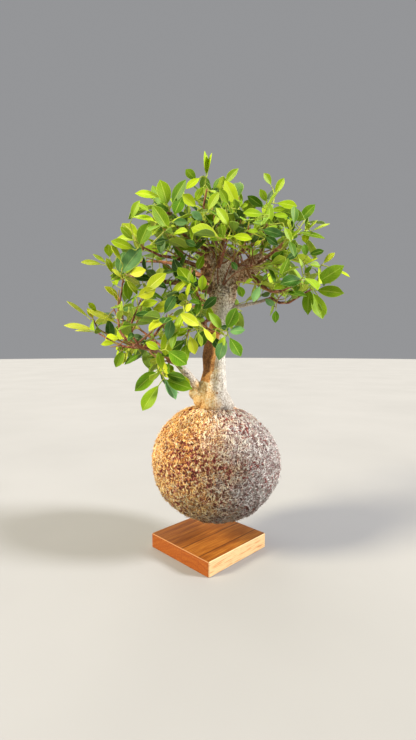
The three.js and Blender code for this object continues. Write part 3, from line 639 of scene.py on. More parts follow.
class Leaf:
    def __init__(self, root, axis, normal, length, width=1.0, droop=FRAME_DROOP, folded=1.0, shade=None):
        self.root, self.axis, self.normal, self.length = root, axis, normal, length
        self.width, self.droop, self.folded, self.shade = width, droop, folded, shade

    def middle(self, along=BLADE_MIDDLE):
        """A point on the midrib."""
        return self.root + (self.axis * along - self.normal * (self.droop * along * along)) * self.length

    def leads(self, along):
        """The direction in which the midrib goes on from a point on it."""
        return (self.axis - self.normal * (2 * self.droop * along)).normalized()


def frame_leaf(tip):
    """The leaf that a corner of a frame's spray is the tip of, or None."""
    if len(tip.link_edges) != 3:
        return None
    near = [edge.other_vert(tip) for edge in tip.link_edges]
    keel = max(near, key=lambda corner: len(corner.link_edges))
    last_pair = [corner for corner in near if corner is not keel]
    beyond = {edge.other_vert(corner) for corner in last_pair for edge in corner.link_edges}
    widest = sorted(beyond - {tip, keel, *last_pair}, key=lambda corner: corner.index)
    if len(widest) != 2:
        return None
    left, right = (corner.co for corner in widest)
    lift = (left + right) / 2 - keel.co
    if abs(lift.length - FRAME_KEEL - FRAME_FOLD * (left - right).length / 2) > FRAME_SLACK:
        return None
    normal = lift.normalized()
    axis = (left - right).normalized().cross(normal)
    centre = keel.co + normal * FRAME_KEEL
    if axis.dot(tip.co - centre) < 0:
        axis = -axis
    length = axis.dot(tip.co - centre) / (1 - FRAME_STATION)
    root = centre - axis * (length * FRAME_STATION) + normal * (FRAME_DROOP * length * FRAME_STATION ** 2)
    return Leaf(root, axis, normal, length)


def frame_spray(node):
    """The leaves of a spray in the frame, and all its corners."""
    mesh = bmesh.new()
    mesh.from_mesh(frame["nodes"][node].data)
    bmesh.ops.remove_doubles(mesh, verts=mesh.verts, dist=WELD)
    mesh.verts.index_update()
    leaves = [leaf for leaf in map(frame_leaf, mesh.verts) if leaf]
    corners = [corner.co.copy() for corner in mesh.verts]
    mesh.free()
    return leaves, corners


def off_line(point, start, heading):
    """How far a point is from a line, and how far along it."""
    along = (point - start).dot(heading)
    return (point - start - heading * along).length, along


def frame_stems(leaves, corners):
    """The straight stems that the leaves' roots lie on, each as its two ends and its leaves in order."""
    left = list(leaves)
    stems = []
    while left:
        rows = [[left[0]]]
        for first, second in permutations(left, 2):
            heading = (second.root - first.root).normalized()
            rows.append([leaf for leaf in left if off_line(leaf.root, first.root, heading)[0] < IN_LINE])
        row = max(rows, key=len)
        if len(row) == 1:
            heading = row[0].axis.copy()
        else:
            far = max(row, key=lambda leaf: (leaf.root - row[0].root).length)
            heading = (far.root - row[0].root).normalized()
            if sum(leaf.axis.dot(heading) for leaf in row) < 0:
                heading = -heading
        origin = row[0].root
        row.sort(key=lambda leaf: (leaf.root - origin).dot(heading))
        near = [off_line(corner, origin, heading) for corner in corners]
        reach = [along for away, along in near if away < STEM_RADIUS * STEM_SLACK]
        roots = [(leaf.root - origin).dot(heading) for leaf in row]
        low, high = min(reach + roots), max(roots) + PAST_LAST
        stems.append((origin + heading * low, origin + heading * high, row))
        left = [leaf for leaf in left if leaf not in row]
    return stems


def rising(value, low, high):
    """How far a value has come from low to high, from 0 to 1."""
    return min(1, max(0, (value - low) / (high - low)))


def pick_tone(place, own, draw):
    """A leaf's tone: often its spray's own, else one that is common in its part of the crown."""
    left = rising(place.x, 0, -0.07)
    low = rising(place.z, 0.4, 0.34)
    if draw.random() < (OWN_YELLOW_SHARE * left if own == "leaf_yellow" else OWN_TONE_SHARE):
        return own
    return draw.choices(TONES, (0.46, 0.36, 0.12, 0.01 + 0.39 * left * low))[0]


def blade_halves(share, widest, bluntness):
    """A blade's half width along it, as a share of its greatest, with a short drawn-out point."""
    rise = widest * bluntness / (1 - widest)
    body = share ** rise * (1 - share) ** bluntness
    peak = widest ** rise * (1 - widest) ** bluntness
    return body / peak * (1 - 0.3 * np.clip((share - 0.8) / 0.14, 0, 1))


def add_leaf(shape, leaf, node, tone, draw):
    """A folded, arched blade with a drawn-out tip, on a petiole that goes on as its midrib."""
    slot = TONES.index(tone)
    rows, columns = BIG_GRID if leaf.length > BIG_LEAF else SMALL_GRID
    seed = leaf.shade
    if seed is None:
        seed = draw.uniform(0.05, LIGHTEST_DEEP if tone == "leaf_deep" else 0.95)
        # painted shade: a leaf is darker the nearer it is to the crown's middle
        seed *= 1 - SHADED * rising((leaf.root - CROWN_MIDDLE).length, SHADED_REACH, 0)
    width = HALF_WIDTH * leaf.width
    widest = draw.uniform(0.46, 0.6)
    bluntness = draw.uniform(0.62, 0.85)
    twist = math.radians(draw.uniform(-16, 16)) * leaf.folded
    sweep = draw.uniform(-0.05, 0.05)
    fold = FRAME_FOLD * draw.uniform(1, 2.4) * leaf.folded
    wave, waves, phase = draw.uniform(0.01, 0.05) * leaf.folded, draw.uniform(1.6, 2.8), draw.random()
    side = leaf.normal.cross(leaf.axis)
    along = np.linspace(PETIOLE, 1, rows)
    share = np.clip((along - PETIOLE) / (1 - PETIOLE), 0.012, 0.997)
    half = leaf.length * width * blade_halves(share, widest, bluntness)
    across = np.linspace(-1, 1, columns)

    def midrib(s):
        return leaf.middle(s) + side * (sweep * leaf.length * s * s)

    top, bottom, uvs = [], [], []
    for row, s in enumerate(along):
        centre = midrib(s)
        facing = leaf.leads(s).cross(side)
        turn = twist * s
        beside = side * math.cos(turn) + facing * math.sin(turn)
        facing = facing * math.cos(turn) - side * math.sin(turn)
        for x in across:
            ripple = wave * math.sin(2 * math.pi * (waves * s + phase) + (x > 0)) * x * x
            height = half[row] * (fold * (1.4 * abs(x) - 0.4 * x * x) + ripple)
            point = centre + beside * (half[row] * x) + facing * height
            thickness = facing * (BLADE_THICKNESS / 2)
            top.append(point + thickness)
            bottom.append(point - thickness)
            uvs.append((0.5 + x / 2, s))
    count = len(top)
    faces = []
    for row in range(rows - 1):
        for column in range(columns - 1):
            a = row * columns + column
            faces.append([a, a + columns, a + columns + 1, a + 1])
            faces.append([count + a, count + a + 1, count + a + columns + 1, count + a + columns])
        first, last = row * columns, row * columns + columns - 1
        faces.append([first, count + first, count + first + columns, first + columns])
        faces.append([last, last + columns, count + last + columns, count + last])
    for column in range(columns - 1):
        start, end = column, (rows - 1) * columns + column
        faces.append([start, start + 1, count + start + 1, count + start])
        faces.append([end, count + end, count + end + 1, end + 1])
    shape.add(top + bottom, faces, slot, uvs + uvs, [(seed, 0)] * count + [(seed, 1)] * count)
    steps = MIDRIB_STEPS
    path = [midrib(s) - leaf.normal * (0.5 * BLADE_THICKNESS * min(1, s / PETIOLE)) for s in steps]
    radius = min(PETIOLE_RADIUS, leaf.length * 0.02)
    radii = [radius * max(1 - s, 0.2) for s in steps]
    if (node - leaf.root).length > 0.1 * MM:  # else the first two rings would be one
        path, radii, steps = [node, *path], [radius * 1.3, *radii], [0, *steps]
    add_tube(shape, path, radii, 5, slot, [(0.5, s) for s in steps], (seed, 0))


# ---------------------------------------------------------------- Stems and sprays

STEM_RADIUS = 1.2 * MM
STEM_END_RADIUS = 0.7 * MM
STEM_SINK = 2.2 * MM  # into the wood, or into the stem that it forks from
ZIGZAG = 0.5 * MM
LEAST_BENT = 0.3  # a leaf that points more nearly along the stem doesn't bend it
BUD = 3.2 * MM


def add_stem(shape, growth, start, end, row, own, draw):
    """A stem that bends a little at each leaf and ends in a pointed bud, with its leaves."""
    heading = (end - start).normalized()
    length = (end - start).length
    nodes = []
    for leaf in row:
        outward = square_to(heading, leaf.axis)
        bend = outward.normalized() * ZIGZAG if outward.length > LEAST_BENT else Vector()
        nodes.append(leaf.root + bend)
    path = smooth_path([start - heading * STEM_SINK, start, *nodes[:-1], end])
    growth.add(path[2:])
    radii = [lerp(STEM_RADIUS, STEM_END_RADIUS, index / (len(path) - 1)) for index in range(len(path))]
    path += [end + heading * BUD * 0.35, end + heading * BUD]
    radii += [STEM_END_RADIUS * 1.15, 0.05 * MM]
    ages = [max(0, (point - start).dot(heading)) / max(length, MM) for point in path]
    add_tube(shape, path, radii, 6, STEM, [(0.5, min(age, 1)) for age in ages], (draw.random(), 0))
    for leaf, node in zip(row, nodes):
        add_leaf(shape, leaf, node, pick_tone(leaf.root, own, draw), draw)


# The leaves that the crown shows at its front, by spray: the spray's depth in millimetres, then for each leaf
# where its root and its tip are in the camera's picture, its width as seen there, its tone, and for some how
# light it is within its tone, from 0 to 1.
F, G, D, Y = TONES
SHOWN = {
    "spray_top_spire": (3, (
        (206, 177, 204, 151, 0.5, F, 0.5), (207, 176, 212, 153, 0.34, F, 0.6),
        (197, 181, 186, 169, 1.3, G, 0.6), (201, 177, 186, 189, 0.8, F, 0.65), (213, 190, 219, 178, 0.7, G),
        (204, 186, 195, 200, 0.9, F))),
    "spray_left_high": (-46, (
        (168, 207, 159, 180, 1.25, F), (163, 198, 135, 194, 0.55, F, 0.5), (171, 206, 187, 180, 0.8, G),
        (170, 212, 156, 205, 1, G), (183, 195, 174, 214, 1.1, G, 0.3))),
    "spray_left_upper": (-66, (
        (169, 232, 153, 205, 1.05, F), (150, 212, 138, 204, 0.7, F), (172, 222, 188, 222, 1, D, 0.5),
        (153, 244, 167, 240, 0.9, D, 0.1), (163, 233, 160, 254, 0.9, D, 0.3))),
    "spray_left_mid": (-58, (
        (131, 221, 139, 200, 0.95, G, 0.8), (139, 247, 149, 222, 1.25, G, 0.5), (134, 241, 120, 227, 0.9, F),
        (135, 250, 111, 241, 0.85, F))),
    "spray_left_dark": (-54, (
        (121, 275, 140, 247, 1.1, D, 0.65), (129, 275, 146, 270, 1.15, Y, 0.8),
        (125, 278, 129, 300, 0.9, G, 0.6), (126, 279, 137, 295, 0.6, Y), (122, 278, 112, 269, 0.7, Y, 0.9),
        (122, 263, 111, 245, 0.6, Y))),
    "spray_left_side": (-6, (
        (104, 265, 81, 262, 0.5, Y), (107, 264, 93, 254, 0.5, F, 0.7), (110, 259, 108, 244, 1.45, F),
        (113, 275, 106, 258, 0.8, Y))),
    "spray_left_round": (-20, (
        (119, 298, 105, 286, 0.75, Y, 0.9), (119, 303, 113, 292, 0.7, Y, 0.8))),
    "spray_front_yellow": (-66, (
        (136, 297, 156, 290, 1.2, Y, 0.8), (140, 306, 158, 302, 0.9, F))),
    "spray_far_left": (14, (
        (90, 319, 67, 301, 0.28, Y, 1), (97, 331, 64, 325, 0.42, Y, 1), (94, 332, 75, 331, 0.28, Y, 1),
        (118, 324, 87, 310, 0.45, Y, 0.9), (94, 320, 87, 308, 0.9, Y, 0.9), (97, 312, 88, 303, 1.2, F),
        (108, 317, 111, 340, 0.9, D, 0.5))),
    "spray_low_left_mid": (-34, (
        (116, 343, 101, 344, 1, F), (124, 349, 115, 367, 1, G), (129, 350, 122, 364, 0.7, Y),
        (140, 354, 125, 365, 0.75, G))),
    "spray_low_hang": (-50, (
        (158, 370, 134, 390, 0.95, G, 0.5), (161, 382, 143, 411, 0.95, G, 0.75),
        (163, 376, 175, 400, 0.8, D, 0.85), (164, 379, 192, 390, 1, G, 0.5), (165, 374, 186, 379, 0.95, G),
        (162, 372, 158, 352, 0.85, F))),
    "spray_low_dark": (-74, (
        (166, 350, 187, 364, 1.4, G, 0.35), (160, 350, 146, 342, 1.15, F, 0.55),
        (167, 343, 172, 320, 1, D, 0.5), (176, 331, 172, 349, 0.8, G), (163, 316, 176, 296, 1, D, 0.4))),
    "spray_yellow_hang": (-62, (
        (189, 334, 196, 354, 1.05, Y, 0.8), (197, 330, 201, 347, 0.6, F))),
    "spray_yellow_left": (-76, (
        (202, 327, 180, 315, 0.95, Y, 0.8), (202, 326, 212, 343, 0.6, Y, 0.7),
        (186, 313, 191, 303, 1.35, Y, 0.8))),
    "spray_front_fan": (-70, (
        (226, 330, 237, 308, 1.2, G, 0.3), (228, 332, 245, 330, 1.3, D, 0.65),
        (228, 335, 240, 357, 1.1, G, 0.3), (226, 336, 218, 360, 1, D, 0.6),
        (225, 335, 220, 351, 1.05, G, 0.85), (222, 330, 209, 312, 0.9, G), (216, 330, 213, 342, 0.8, Y))),
    "spray_front_left": (-62, (
        (201, 293, 203, 275, 1.1, F, 0.4), (201, 311, 216, 296, 0.95, D, 0.3),
        (203, 304, 190, 300, 0.8, G, 0.3), (196, 316, 200, 300, 0.9, G, 0.3))),
    "spray_high_left": (-54, (
        (198, 208, 182, 195, 1.15, F, 0.7), (204, 222, 191, 212, 1.15, D, 0.85))),
    "spray_high_big": (-48, (
        (239, 210, 224, 181, 0.9, F, 0.8), (225, 184, 238, 168, 1, F), (240, 208, 248, 204, 1.2, F))),
    "spray_high_front": (-60, (
        (207, 213, 218, 192, 1, F, 0.4), (228, 205, 220, 188, 1, F, 0.3))),
    "spray_front_high": (-76, (
        (230, 228, 216, 208, 1.05, F), (224, 240, 221, 224, 1.2, F), (214, 226, 221, 212, 0.8, F),
        (184, 240, 196, 246, 1.1, D, 0.4))),
    "spray_centre_high": (-80, (
        (266, 215, 243, 213, 0.8, F, 0.3), (231, 236, 252, 239, 0.8, F, 0.5), (245, 231, 258, 232, 0.7, F))),
    "spray_right_top": (-38, (
        (272, 187, 264, 173, 1.1, F, 0.45), (275, 196, 284, 178, 0.95, F, 0.4), (267, 203, 260, 189, 1.1, F),
        (274, 203, 297, 207, 0.75, F, 0.4), (264, 208, 248, 195, 0.95, G, 0.15),
        (270, 211, 285, 209, 0.85, F, 0.3), (272, 215, 288, 216, 0.8, G))),
    "spray_right_front_high": (-66, (
        (260, 229, 283, 236, 0.85, D, 0.45), (279, 246, 266, 237, 1.05, D, 0.35),
        (284, 226, 291, 242, 0.8, F, 0.3))),
    "spray_right_centre": (-78, (
        (289, 240, 295, 257, 0.8, G), (262, 240, 254, 246, 0.9, Y))),
    "spray_right_out": (0, (
        (297, 224, 316, 205, 0.85, G), (312, 231, 330, 224, 0.32, F), (295, 232, 325, 239, 0.35, F),
        (306, 232, 306, 243, 1.6, F, 0.9), (309, 229, 317, 220, 0.5, F), (306, 229, 308, 217, 0.6, F))),
    "spray_right_mid": (-16, (
        (306, 257, 304, 244, 1.3, G), (308, 255, 324, 251, 0.9, G), (298, 257, 303, 268, 0.6, F),
        (302, 266, 318, 258, 0.35, F), (304, 274, 312, 266, 0.9, G))),
    "spray_right_tip": (-14, (
        (313, 285, 345, 267, 0.95, G), (314, 290, 344, 294, 0.9, F), (310, 287, 307, 315, 0.85, G),
        (312, 290, 322, 319, 1.05, G), (318, 296, 326, 315, 0.5, G), (335, 269, 350, 277, 0.32, F),
        (322, 265, 335, 253, 0.8, Y), (324, 279, 331, 284, 0.5, F))),
    "spray_right_dark": (-60, (
        (305, 280, 280, 283, 1.2, D, 0.35), (300, 285, 297, 291, 1, G), (284, 283, 274, 289, 1.1, G))),
    "spray_right_hang": (-52, (
        (261, 284, 253, 302, 0.9, D, 0.95), (262, 281, 268, 274, 0.9, G), (244, 284, 253, 279, 0.8, F))),
    "spray_centre": (-46, (
        (238, 285, 243, 297, 1.35, G, 0.5), (231, 261, 237, 270, 1.2, D, 0.4))),
    "spray_right_under": (-24, (
        (275, 306, 265, 299, 1.15, D, 0.85), (276, 309, 275, 323, 1.15, G))),
}
# The twigs that show between the front leaves: each one's depth at its two ends and its radius there, in
# millimetres, and places along it in the camera's picture.
SHOWN_TWIGS = (
    (-42, 6, 1.5, 1, ((176, 364), (155, 352), (136, 347), (118, 340), (98, 329))),
    (6, 12, 1, 0.6, ((98, 329), (93, 319), (90, 313))),
    (-26, -30, 1.2, 0.7, ((136, 347), (125, 339), (119, 328), (118, 308), (119, 290))),
    (-30, -40, 1.1, 0.6, ((131, 343), (132, 332), (138, 320), (142, 305), (144, 292))),
    (-38, -48, 1.3, 0.7, ((134, 346), (148, 335), (162, 322), (173, 313))),
    (-40, -52, 1.1, 0.7, ((150, 352), (160, 362), (163, 376))),
    (-40, -40, 0.9, 0.5, ((124, 341), (117, 346), (110, 347))),
    (-22, -40, 1.2, 0.7, ((208, 264), (192, 258), (176, 247), (166, 233), (162, 221))),
    (-22, -44, 1.1, 0.6, ((206, 268), (188, 262), (170, 252), (152, 248))),
    (-24, -40, 1, 0.6, ((207, 277), (192, 276), (174, 270), (160, 262), (146, 258))),
    (-20, -44, 1.1, 0.6, ((214, 256), (208, 240), (202, 226), (200, 214))),
    (-22, -48, 1.1, 0.6, ((218, 258), (224, 245), (226, 232), (233, 220))),
    (-24, -44, 1.1, 0.6, ((226, 262), (238, 252), (252, 244), (266, 240))),
    (-26, -36, 1.1, 0.6, ((240, 264), (254, 256), (270, 250), (284, 246))),
    (-24, -40, 1.3, 0.7, ((246, 266), (251, 278), (262, 288), (278, 293), (292, 290))),
    (-36, -24, 0.8, 0.5, ((284, 293), (278, 299), (276, 307))),
)
# The crown's outline in the camera's picture. No leaf reaches past it.
OUTLINE = [
    (134, 391), (149, 386), (143, 412), (165, 394), (176, 401), (193, 391), (188, 362), (196, 355),
    (203, 345), (212, 345), (218, 361), (240, 358), (247, 331), (240, 307), (234, 302), (262, 297),
    (268, 325), (279, 325), (279, 300), (298, 303), (303, 317), (327, 320), (330, 300), (346, 296),
    (348, 285), (352, 277), (347, 264), (337, 252), (325, 250), (327, 240), (331, 223), (317, 203),
    (299, 206), (290, 198), (285, 176), (262, 171), (259, 188), (247, 192), (240, 188), (239, 166),
    (222, 178), (214, 190), (209, 178), (213, 152), (204, 149), (203, 173), (198, 165), (184, 167),
    (186, 180), (172, 188), (162, 178), (152, 180), (134, 192), (138, 200), (128, 212), (118, 226),
    (109, 240), (102, 243), (92, 253), (80, 261), (82, 266), (104, 272), (103, 285), (112, 300), (115, 313),
    (100, 305), (87, 300), (66, 300), (78, 318), (62, 324), (74, 333), (90, 334), (100, 346), (115, 349),
    (112, 368), (126, 368), (143, 359), (152, 366)]
# Parts of the picture where the front leaves let the trunk's head and the inner twigs show.
HEAD_SHOWN = [(204, 250), (262, 252), (264, 270), (247, 292), (238, 303), (226, 322), (217, 326), (213, 300),
              (206, 290)]
TWIGS_SHOWN = ([(170, 236), (292, 240), (288, 262), (262, 256), (204, 256), (178, 262)],
               [(110, 316), (140, 312), (152, 326), (160, 346), (124, 350), (108, 342)])
OVER_TWIGS = 0.35  # the share of the other leaves that may hang before those twigs
FRONT = -0.012  # leaves behind this depth hide nothing of the shown wood
SHOWN_GAP = 10 * MM
SHOWN_GAP_IN_VIEW = 8
FULL_WIDTH = 0.95


def shown_leaf(y, row, draw):
    """A leaf that lies as the camera sees it. A narrow one is a leaf that it sees from its side."""
    x0, y0, x1, y1, width, tone, *shade = row
    depth = y * MM
    size = math.hypot(x1 - x0, y1 - y0) * (depth - CAMERA_PLACE[1]) / FOCAL_PIXELS
    root = from_view(x0, y0, depth + draw.uniform(-2, 2) * MM)
    tip = from_view(x1, y1, depth - size * draw.uniform(0.1, 0.35))
    way = (tip - root).normalized()
    to_camera = (Vector(CAMERA_PLACE) - root).normalized()
    upward = square_to(way, UP).normalized()
    facing = min(1, width / FULL_WIDTH)
    edgewise = way.cross(to_camera).normalized()
    if edgewise.dot(UP) < 0:
        edgewise = -edgewise
    if facing == 1:
        normal = to_camera + upward * draw.uniform(0.1, 0.5) + edgewise * draw.uniform(-0.3, 0.3)
    else:
        normal = to_camera * facing + edgewise * math.sqrt(1 - facing * facing)
    normal = square_to(way, normal).normalized()
    droop = FRAME_DROOP * draw.uniform(0.6, 1.3)
    stretch = math.sqrt(1 + droop * droop)
    length = (tip - root).length / stretch
    leaf = Leaf(root, (way + normal * droop) / stretch, (normal - way * droop) / stretch, length,
                max(width, FULL_WIDTH), droop, facing ** 2, shade[0] if shade else None)
    return leaf, tone


def crowded(leaf, shown):
    """Whether a leaf touches one of the shown ones, or hides it from the camera."""
    middle = leaf.middle()
    views = [in_view(leaf.middle(along)) for along in (0.3, BLADE_MIDDLE, 0.8)]
    for other, seen_across, seen_down in shown:
        if (middle - other).length < SHOWN_GAP:
            return True
        if middle.y < other.y and any(math.hypot(across - seen_across, down - seen_down) < SHOWN_GAP_IN_VIEW
                                      for across, down in views):
            return True
    return False


def fits_view(leaf, draw):
    """Whether a leaf keeps within the crown's outline, and off the parts that show the wood."""
    middle, tip = in_view(leaf.middle()), in_view(leaf.middle(1))
    if not (encloses(OUTLINE, middle) and encloses(OUTLINE, tip)):
        return False
    if leaf.middle().y > FRONT:
        return True
    if encloses(HEAD_SHOWN, middle) or encloses(HEAD_SHOWN, tip):
        return False
    return draw.random() < OVER_TWIGS or not any(encloses(part, middle) for part in TWIGS_SHOWN)


class Growth:
    """The wood and the stems that more stems can start from."""

    def __init__(self, wood):
        self.wood = wood
        self.points = []

    def add(self, points):
        self.points.extend(points)

    def nearest(self, place):
        best, _, _, distance = self.wood.find_nearest(place)
        if self.points:
            away = np.linalg.norm(np.array(self.points) - np.array(place), axis=1)
            index = int(away.argmin())
            if away[index] < distance:
                best, distance = Vector(self.points[index]), float(away[index])
        return best, distance


ALREADY_THERE = 2 * MM  # a leaf that starts so near to the growth needs no stem of its own
SHOWN_THIN, SHOWN_THICK = 0.5 * MM, 1.1 * MM


def add_shown(shape, growth, leaves, draw):
    """Leaves on thin stems. Each time the leaf nearest to the growth so far is joined to it."""
    left = list(leaves)
    while left:
        leaf, tone = min(left, key=lambda pair: growth.nearest(pair[0].root)[1])
        left.remove((leaf, tone))
        start, distance = growth.nearest(leaf.root)
        node = start
        if distance > ALREADY_THERE:
            way = leaf.root - start
            bend = start + way * 0.5 + (way.normalized() - leaf.axis) * (0.12 * distance)
            before = leaf.root - leaf.axis * min(0.2 * distance, 4 * MM)
            path = smooth_path([start - way.normalized() * MM, start + way * 0.1, bend, before, leaf.root])
            thick = min(SHOWN_THICK, 1.1 * SHOWN_THIN + 0.02 * distance)
            old = 0.75 - min(0.5, distance / (60 * MM))
            add_shaft(shape, path, (thick, SHOWN_THIN), 6, (old, 1), draw)
            growth.add(path[3:])
            node = path[-2]
        add_leaf(shape, leaf, node, tone, draw)


def add_shown_twigs(shape, growth, draw):
    """The shown twigs, each joined to what has grown so far."""
    for near, far, thick, thin, places in SHOWN_TWIGS:
        last = len(places) - 1
        path = [from_view(*place, lerp(near, far, i / last) * MM) for i, place in enumerate(places)]
        start, _ = growth.nearest(path[0])
        path = smooth_path([start, *path] if (start - path[0]).length > MM else [start, *path[1:]], 4)
        add_shaft(shape, path, (thick * MM, thin * MM), 7, (0, 0.45), draw)
        growth.add(path[2:])


SHOWN_SEED = 17


def dress_sprays(materials, growth):
    """Replaces each spray of the frame with fine leaves and stems in the same places."""
    slots = {part["node"]: part["material_slot"] for part in frame["record"]["subparts"]}
    draw = random.Random(SHOWN_SEED)
    shown = {node: [shown_leaf(y, row, draw) for row in rows] for node, (y, rows) in SHOWN.items()}
    seen = [(leaf.middle(), *in_view(leaf.middle())) for leaves in shown.values() for leaf, _ in leaves]
    everywhere, kept = [], []
    twigs = Shape()
    add_shown_twigs(twigs, growth, draw)
    twigs.piece("shown_twigs", materials)
    for index, node in enumerate(sorted(name for name in frame["nodes"] if name.startswith("spray_"))):
        draw = random.Random(index)
        leaves, corners = frame_spray(node)
        everywhere.extend(leaves)
        shape = Shape()
        for start, end, row in frame_stems(leaves, corners):
            last = row[-1]
            row = [leaf for leaf in row if fits_view(leaf, draw) and not crowded(leaf, seen)]
            if row:
                if row[-1] is not last:
                    end = row[-1].root + (end - start).normalized() * PAST_LAST
                for leaf in row:
                    leaf.width, leaf.droop = draw.uniform(0.82, 1.08), leaf.droop * draw.uniform(0.7, 1.7)
                add_stem(shape, growth, start, end, row, slots[node], draw)
                kept.extend(row)
        add_shown(shape, growth, shown.get(node, []), draw)
        kept.extend(leaf for leaf, _ in shown.get(node, []))
        piece = shape.piece(node.replace("spray_", "leaves_"), materials)
        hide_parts(node)
    return everywhere, kept, seen


# ---------------------------------------------------------------- The crown's inside

REACH_ANGLE = math.radians(15)  # a leaf grows no further out than the frame's leaves within this angle
NEIGHBOURS = 3
NEIGHBOURHOOD = 46 * MM
LEAF_GAP = 7.5 * MM
GOLDEN = math.radians(137.5)  # from one leaf to the next round a shoot
LEAST_TURNED = 0.25  # no leaf grows where its axis would point so nearly the way its blade should face


class Crown:
    """Where leaves are, how far they reach from the crown's middle, and where the wood is."""

    def __init__(self, leaves, kept, shown, wood):
        self.wood, self.shown = wood, shown
        away = np.array([leaf.middle(s) - CROWN_MIDDLE for leaf in leaves for s in (0.3, 0.7, 1)])
        self.reach = np.linalg.norm(away, axis=1)
        self.directions = away / self.reach[:, None]
        self.frame_middles = np.array([leaf.middle() for leaf in leaves])
        self.middles = [leaf.middle() for leaf in kept]

    def holds(self, point):
        """Whether a point lies within the frame's crown, and in none of its wide gaps."""
        away = np.array(point - CROWN_MIDDLE)
        distance = np.linalg.norm(away)
        ahead = self.directions @ (away / max(distance, MM)) > math.cos(REACH_ANGLE)
        if not np.any(self.reach[ahead] > distance):
            return False
        near = np.linalg.norm(self.frame_middles - np.array(point), axis=1) < NEIGHBOURHOOD
        return int(near.sum()) >= NEIGHBOURS

    def takes(self, leaf, draw):
        """Whether a leaf fits: in the crown, clear of the other leaves and of the wood."""
        middle, tip = leaf.middle(), leaf.middle(1)
        if not (self.holds(tip) and self.holds(middle) and fits_view(leaf, draw)):
            return False
        if crowded(leaf, self.shown):
            return False
        if any((other - middle).length < LEAF_GAP for other in self.middles):
            return False
        start = leaf.middle(0.2)
        way = tip - start
        return self.wood.ray_cast(start, way.normalized(), way.length)[0] is None


def random_direction(draw):
    z = draw.uniform(-1, 1)
    angle = draw.uniform(0, 2 * math.pi)
    flat = math.sqrt(1 - z * z)
    return Vector((flat * math.cos(angle), flat * math.sin(angle), z))


def wandering(start, heading, length, step, wander, rise, draw):
    """A path that strays as it grows, and turns up towards the light."""
    path = [start]
    for _ in range(max(2, round(length / step))):
        heading = (heading + random_direction(draw) * wander + UP * rise).normalized()
        path.append(path[-1] + heading * step)
    return path


def turned_out(point, draw):
    """A direction that a blade faces: up, out of the crown, and a little astray."""
    outward = (point - CROWN_MIDDLE).normalized()
    return (UP * 0.65 + outward * 0.75 + random_direction(draw) * 0.5).normalized()


def shoot_leaves(crown, path, size, draw):
    """The leaves that fit along a shoot, each with the number of its node."""
    found = []
    turn = draw.uniform(0, 2 * math.pi)
    count = len(path)
    for index in range(1, count):
        heading = (path[index] - path[index - 1]).normalized()
        turn += GOLDEN
        across = heading.orthogonal().normalized()
        sideways = across * math.cos(turn) + heading.cross(across) * math.sin(turn)
        lean = math.radians(draw.uniform(30, 62) if index < count - 1 else draw.uniform(5, 30))
        axis = heading * math.cos(lean) + sideways * math.sin(lean)
        normal = square_to(axis, turned_out(path[index], draw))
        if normal.length < LEAST_TURNED:
            continue
        length = size * draw.uniform(0.65, 1.25)
        leaf = Leaf(path[index], axis, normal.normalized(), length, draw.uniform(0.85, 1.15))
        if crown.takes(leaf, draw):
            crown.middles.append(leaf.middle())
            found.append((leaf, index))
    return found


SHOOT_RADII = (0.75 * MM, 0.4 * MM)
SHOOT_STEP = 5 * MM


def add_shoot(shape, crown, start, heading, length, draw):
    """A thin shoot with small leaves. One that can carry none is left out."""
    path = wandering(start, heading, length, SHOOT_STEP, 0.3, 0.1, draw)
    own = draw.choices(TONES, (0.38, 0.34, 0.2, 0.08))[0]
    leaves = shoot_leaves(crown, path, draw.uniform(13, 29) * MM, draw)
    if not leaves:
        return False
    path = path[:leaves[-1][1] + 1]
    curve = smooth_path([start - heading * 1.5 * MM, *path])
    add_shaft(shape, curve, SHOOT_RADII, 5, (draw.uniform(0, 0.3), 0.95), draw)
    for leaf, index in leaves:
        add_leaf(shape, leaf, path[index], pick_tone(leaf.root, own, draw), draw)
    return True


TWIG_RADII = (0.95 * MM, 0.5 * MM)
TWIG_STEP = 7 * MM


def add_twig(shape, crown, start, heading, length, draw):
    """A bare brown twig that forks into leafy shoots."""
    path = wandering(start, heading, length, TWIG_STEP, 0.34, 0.05, draw)
    while len(path) > 3 and not crown.holds(path[-1]):
        path.pop()
    add_shaft(shape, smooth_path([start - heading * 3 * MM, *path]), TWIG_RADII, 6, (0, 0.25), draw)
    for index in range(2, len(path)):
        ahead = (path[index] - path[index - 1]).normalized()
        fork = (ahead + random_direction(draw) * 0.8).normalized()
        add_shoot(shape, crown, path[index], fork, draw.uniform(8, 24) * MM, draw)


TRUNK_TWIGS = 46
SHOOT_TRIES = 1100
SHOOT_GAP = 7 * MM
SHOOT_WOOD = 0.42  # shoots leave wood thinner than this share of the thickest, and twigs thicker wood
SHOOTS_FROM, TWIGS_FROM = 0.235, 0.315  # the heights that they start at
INNER_SEED = 91


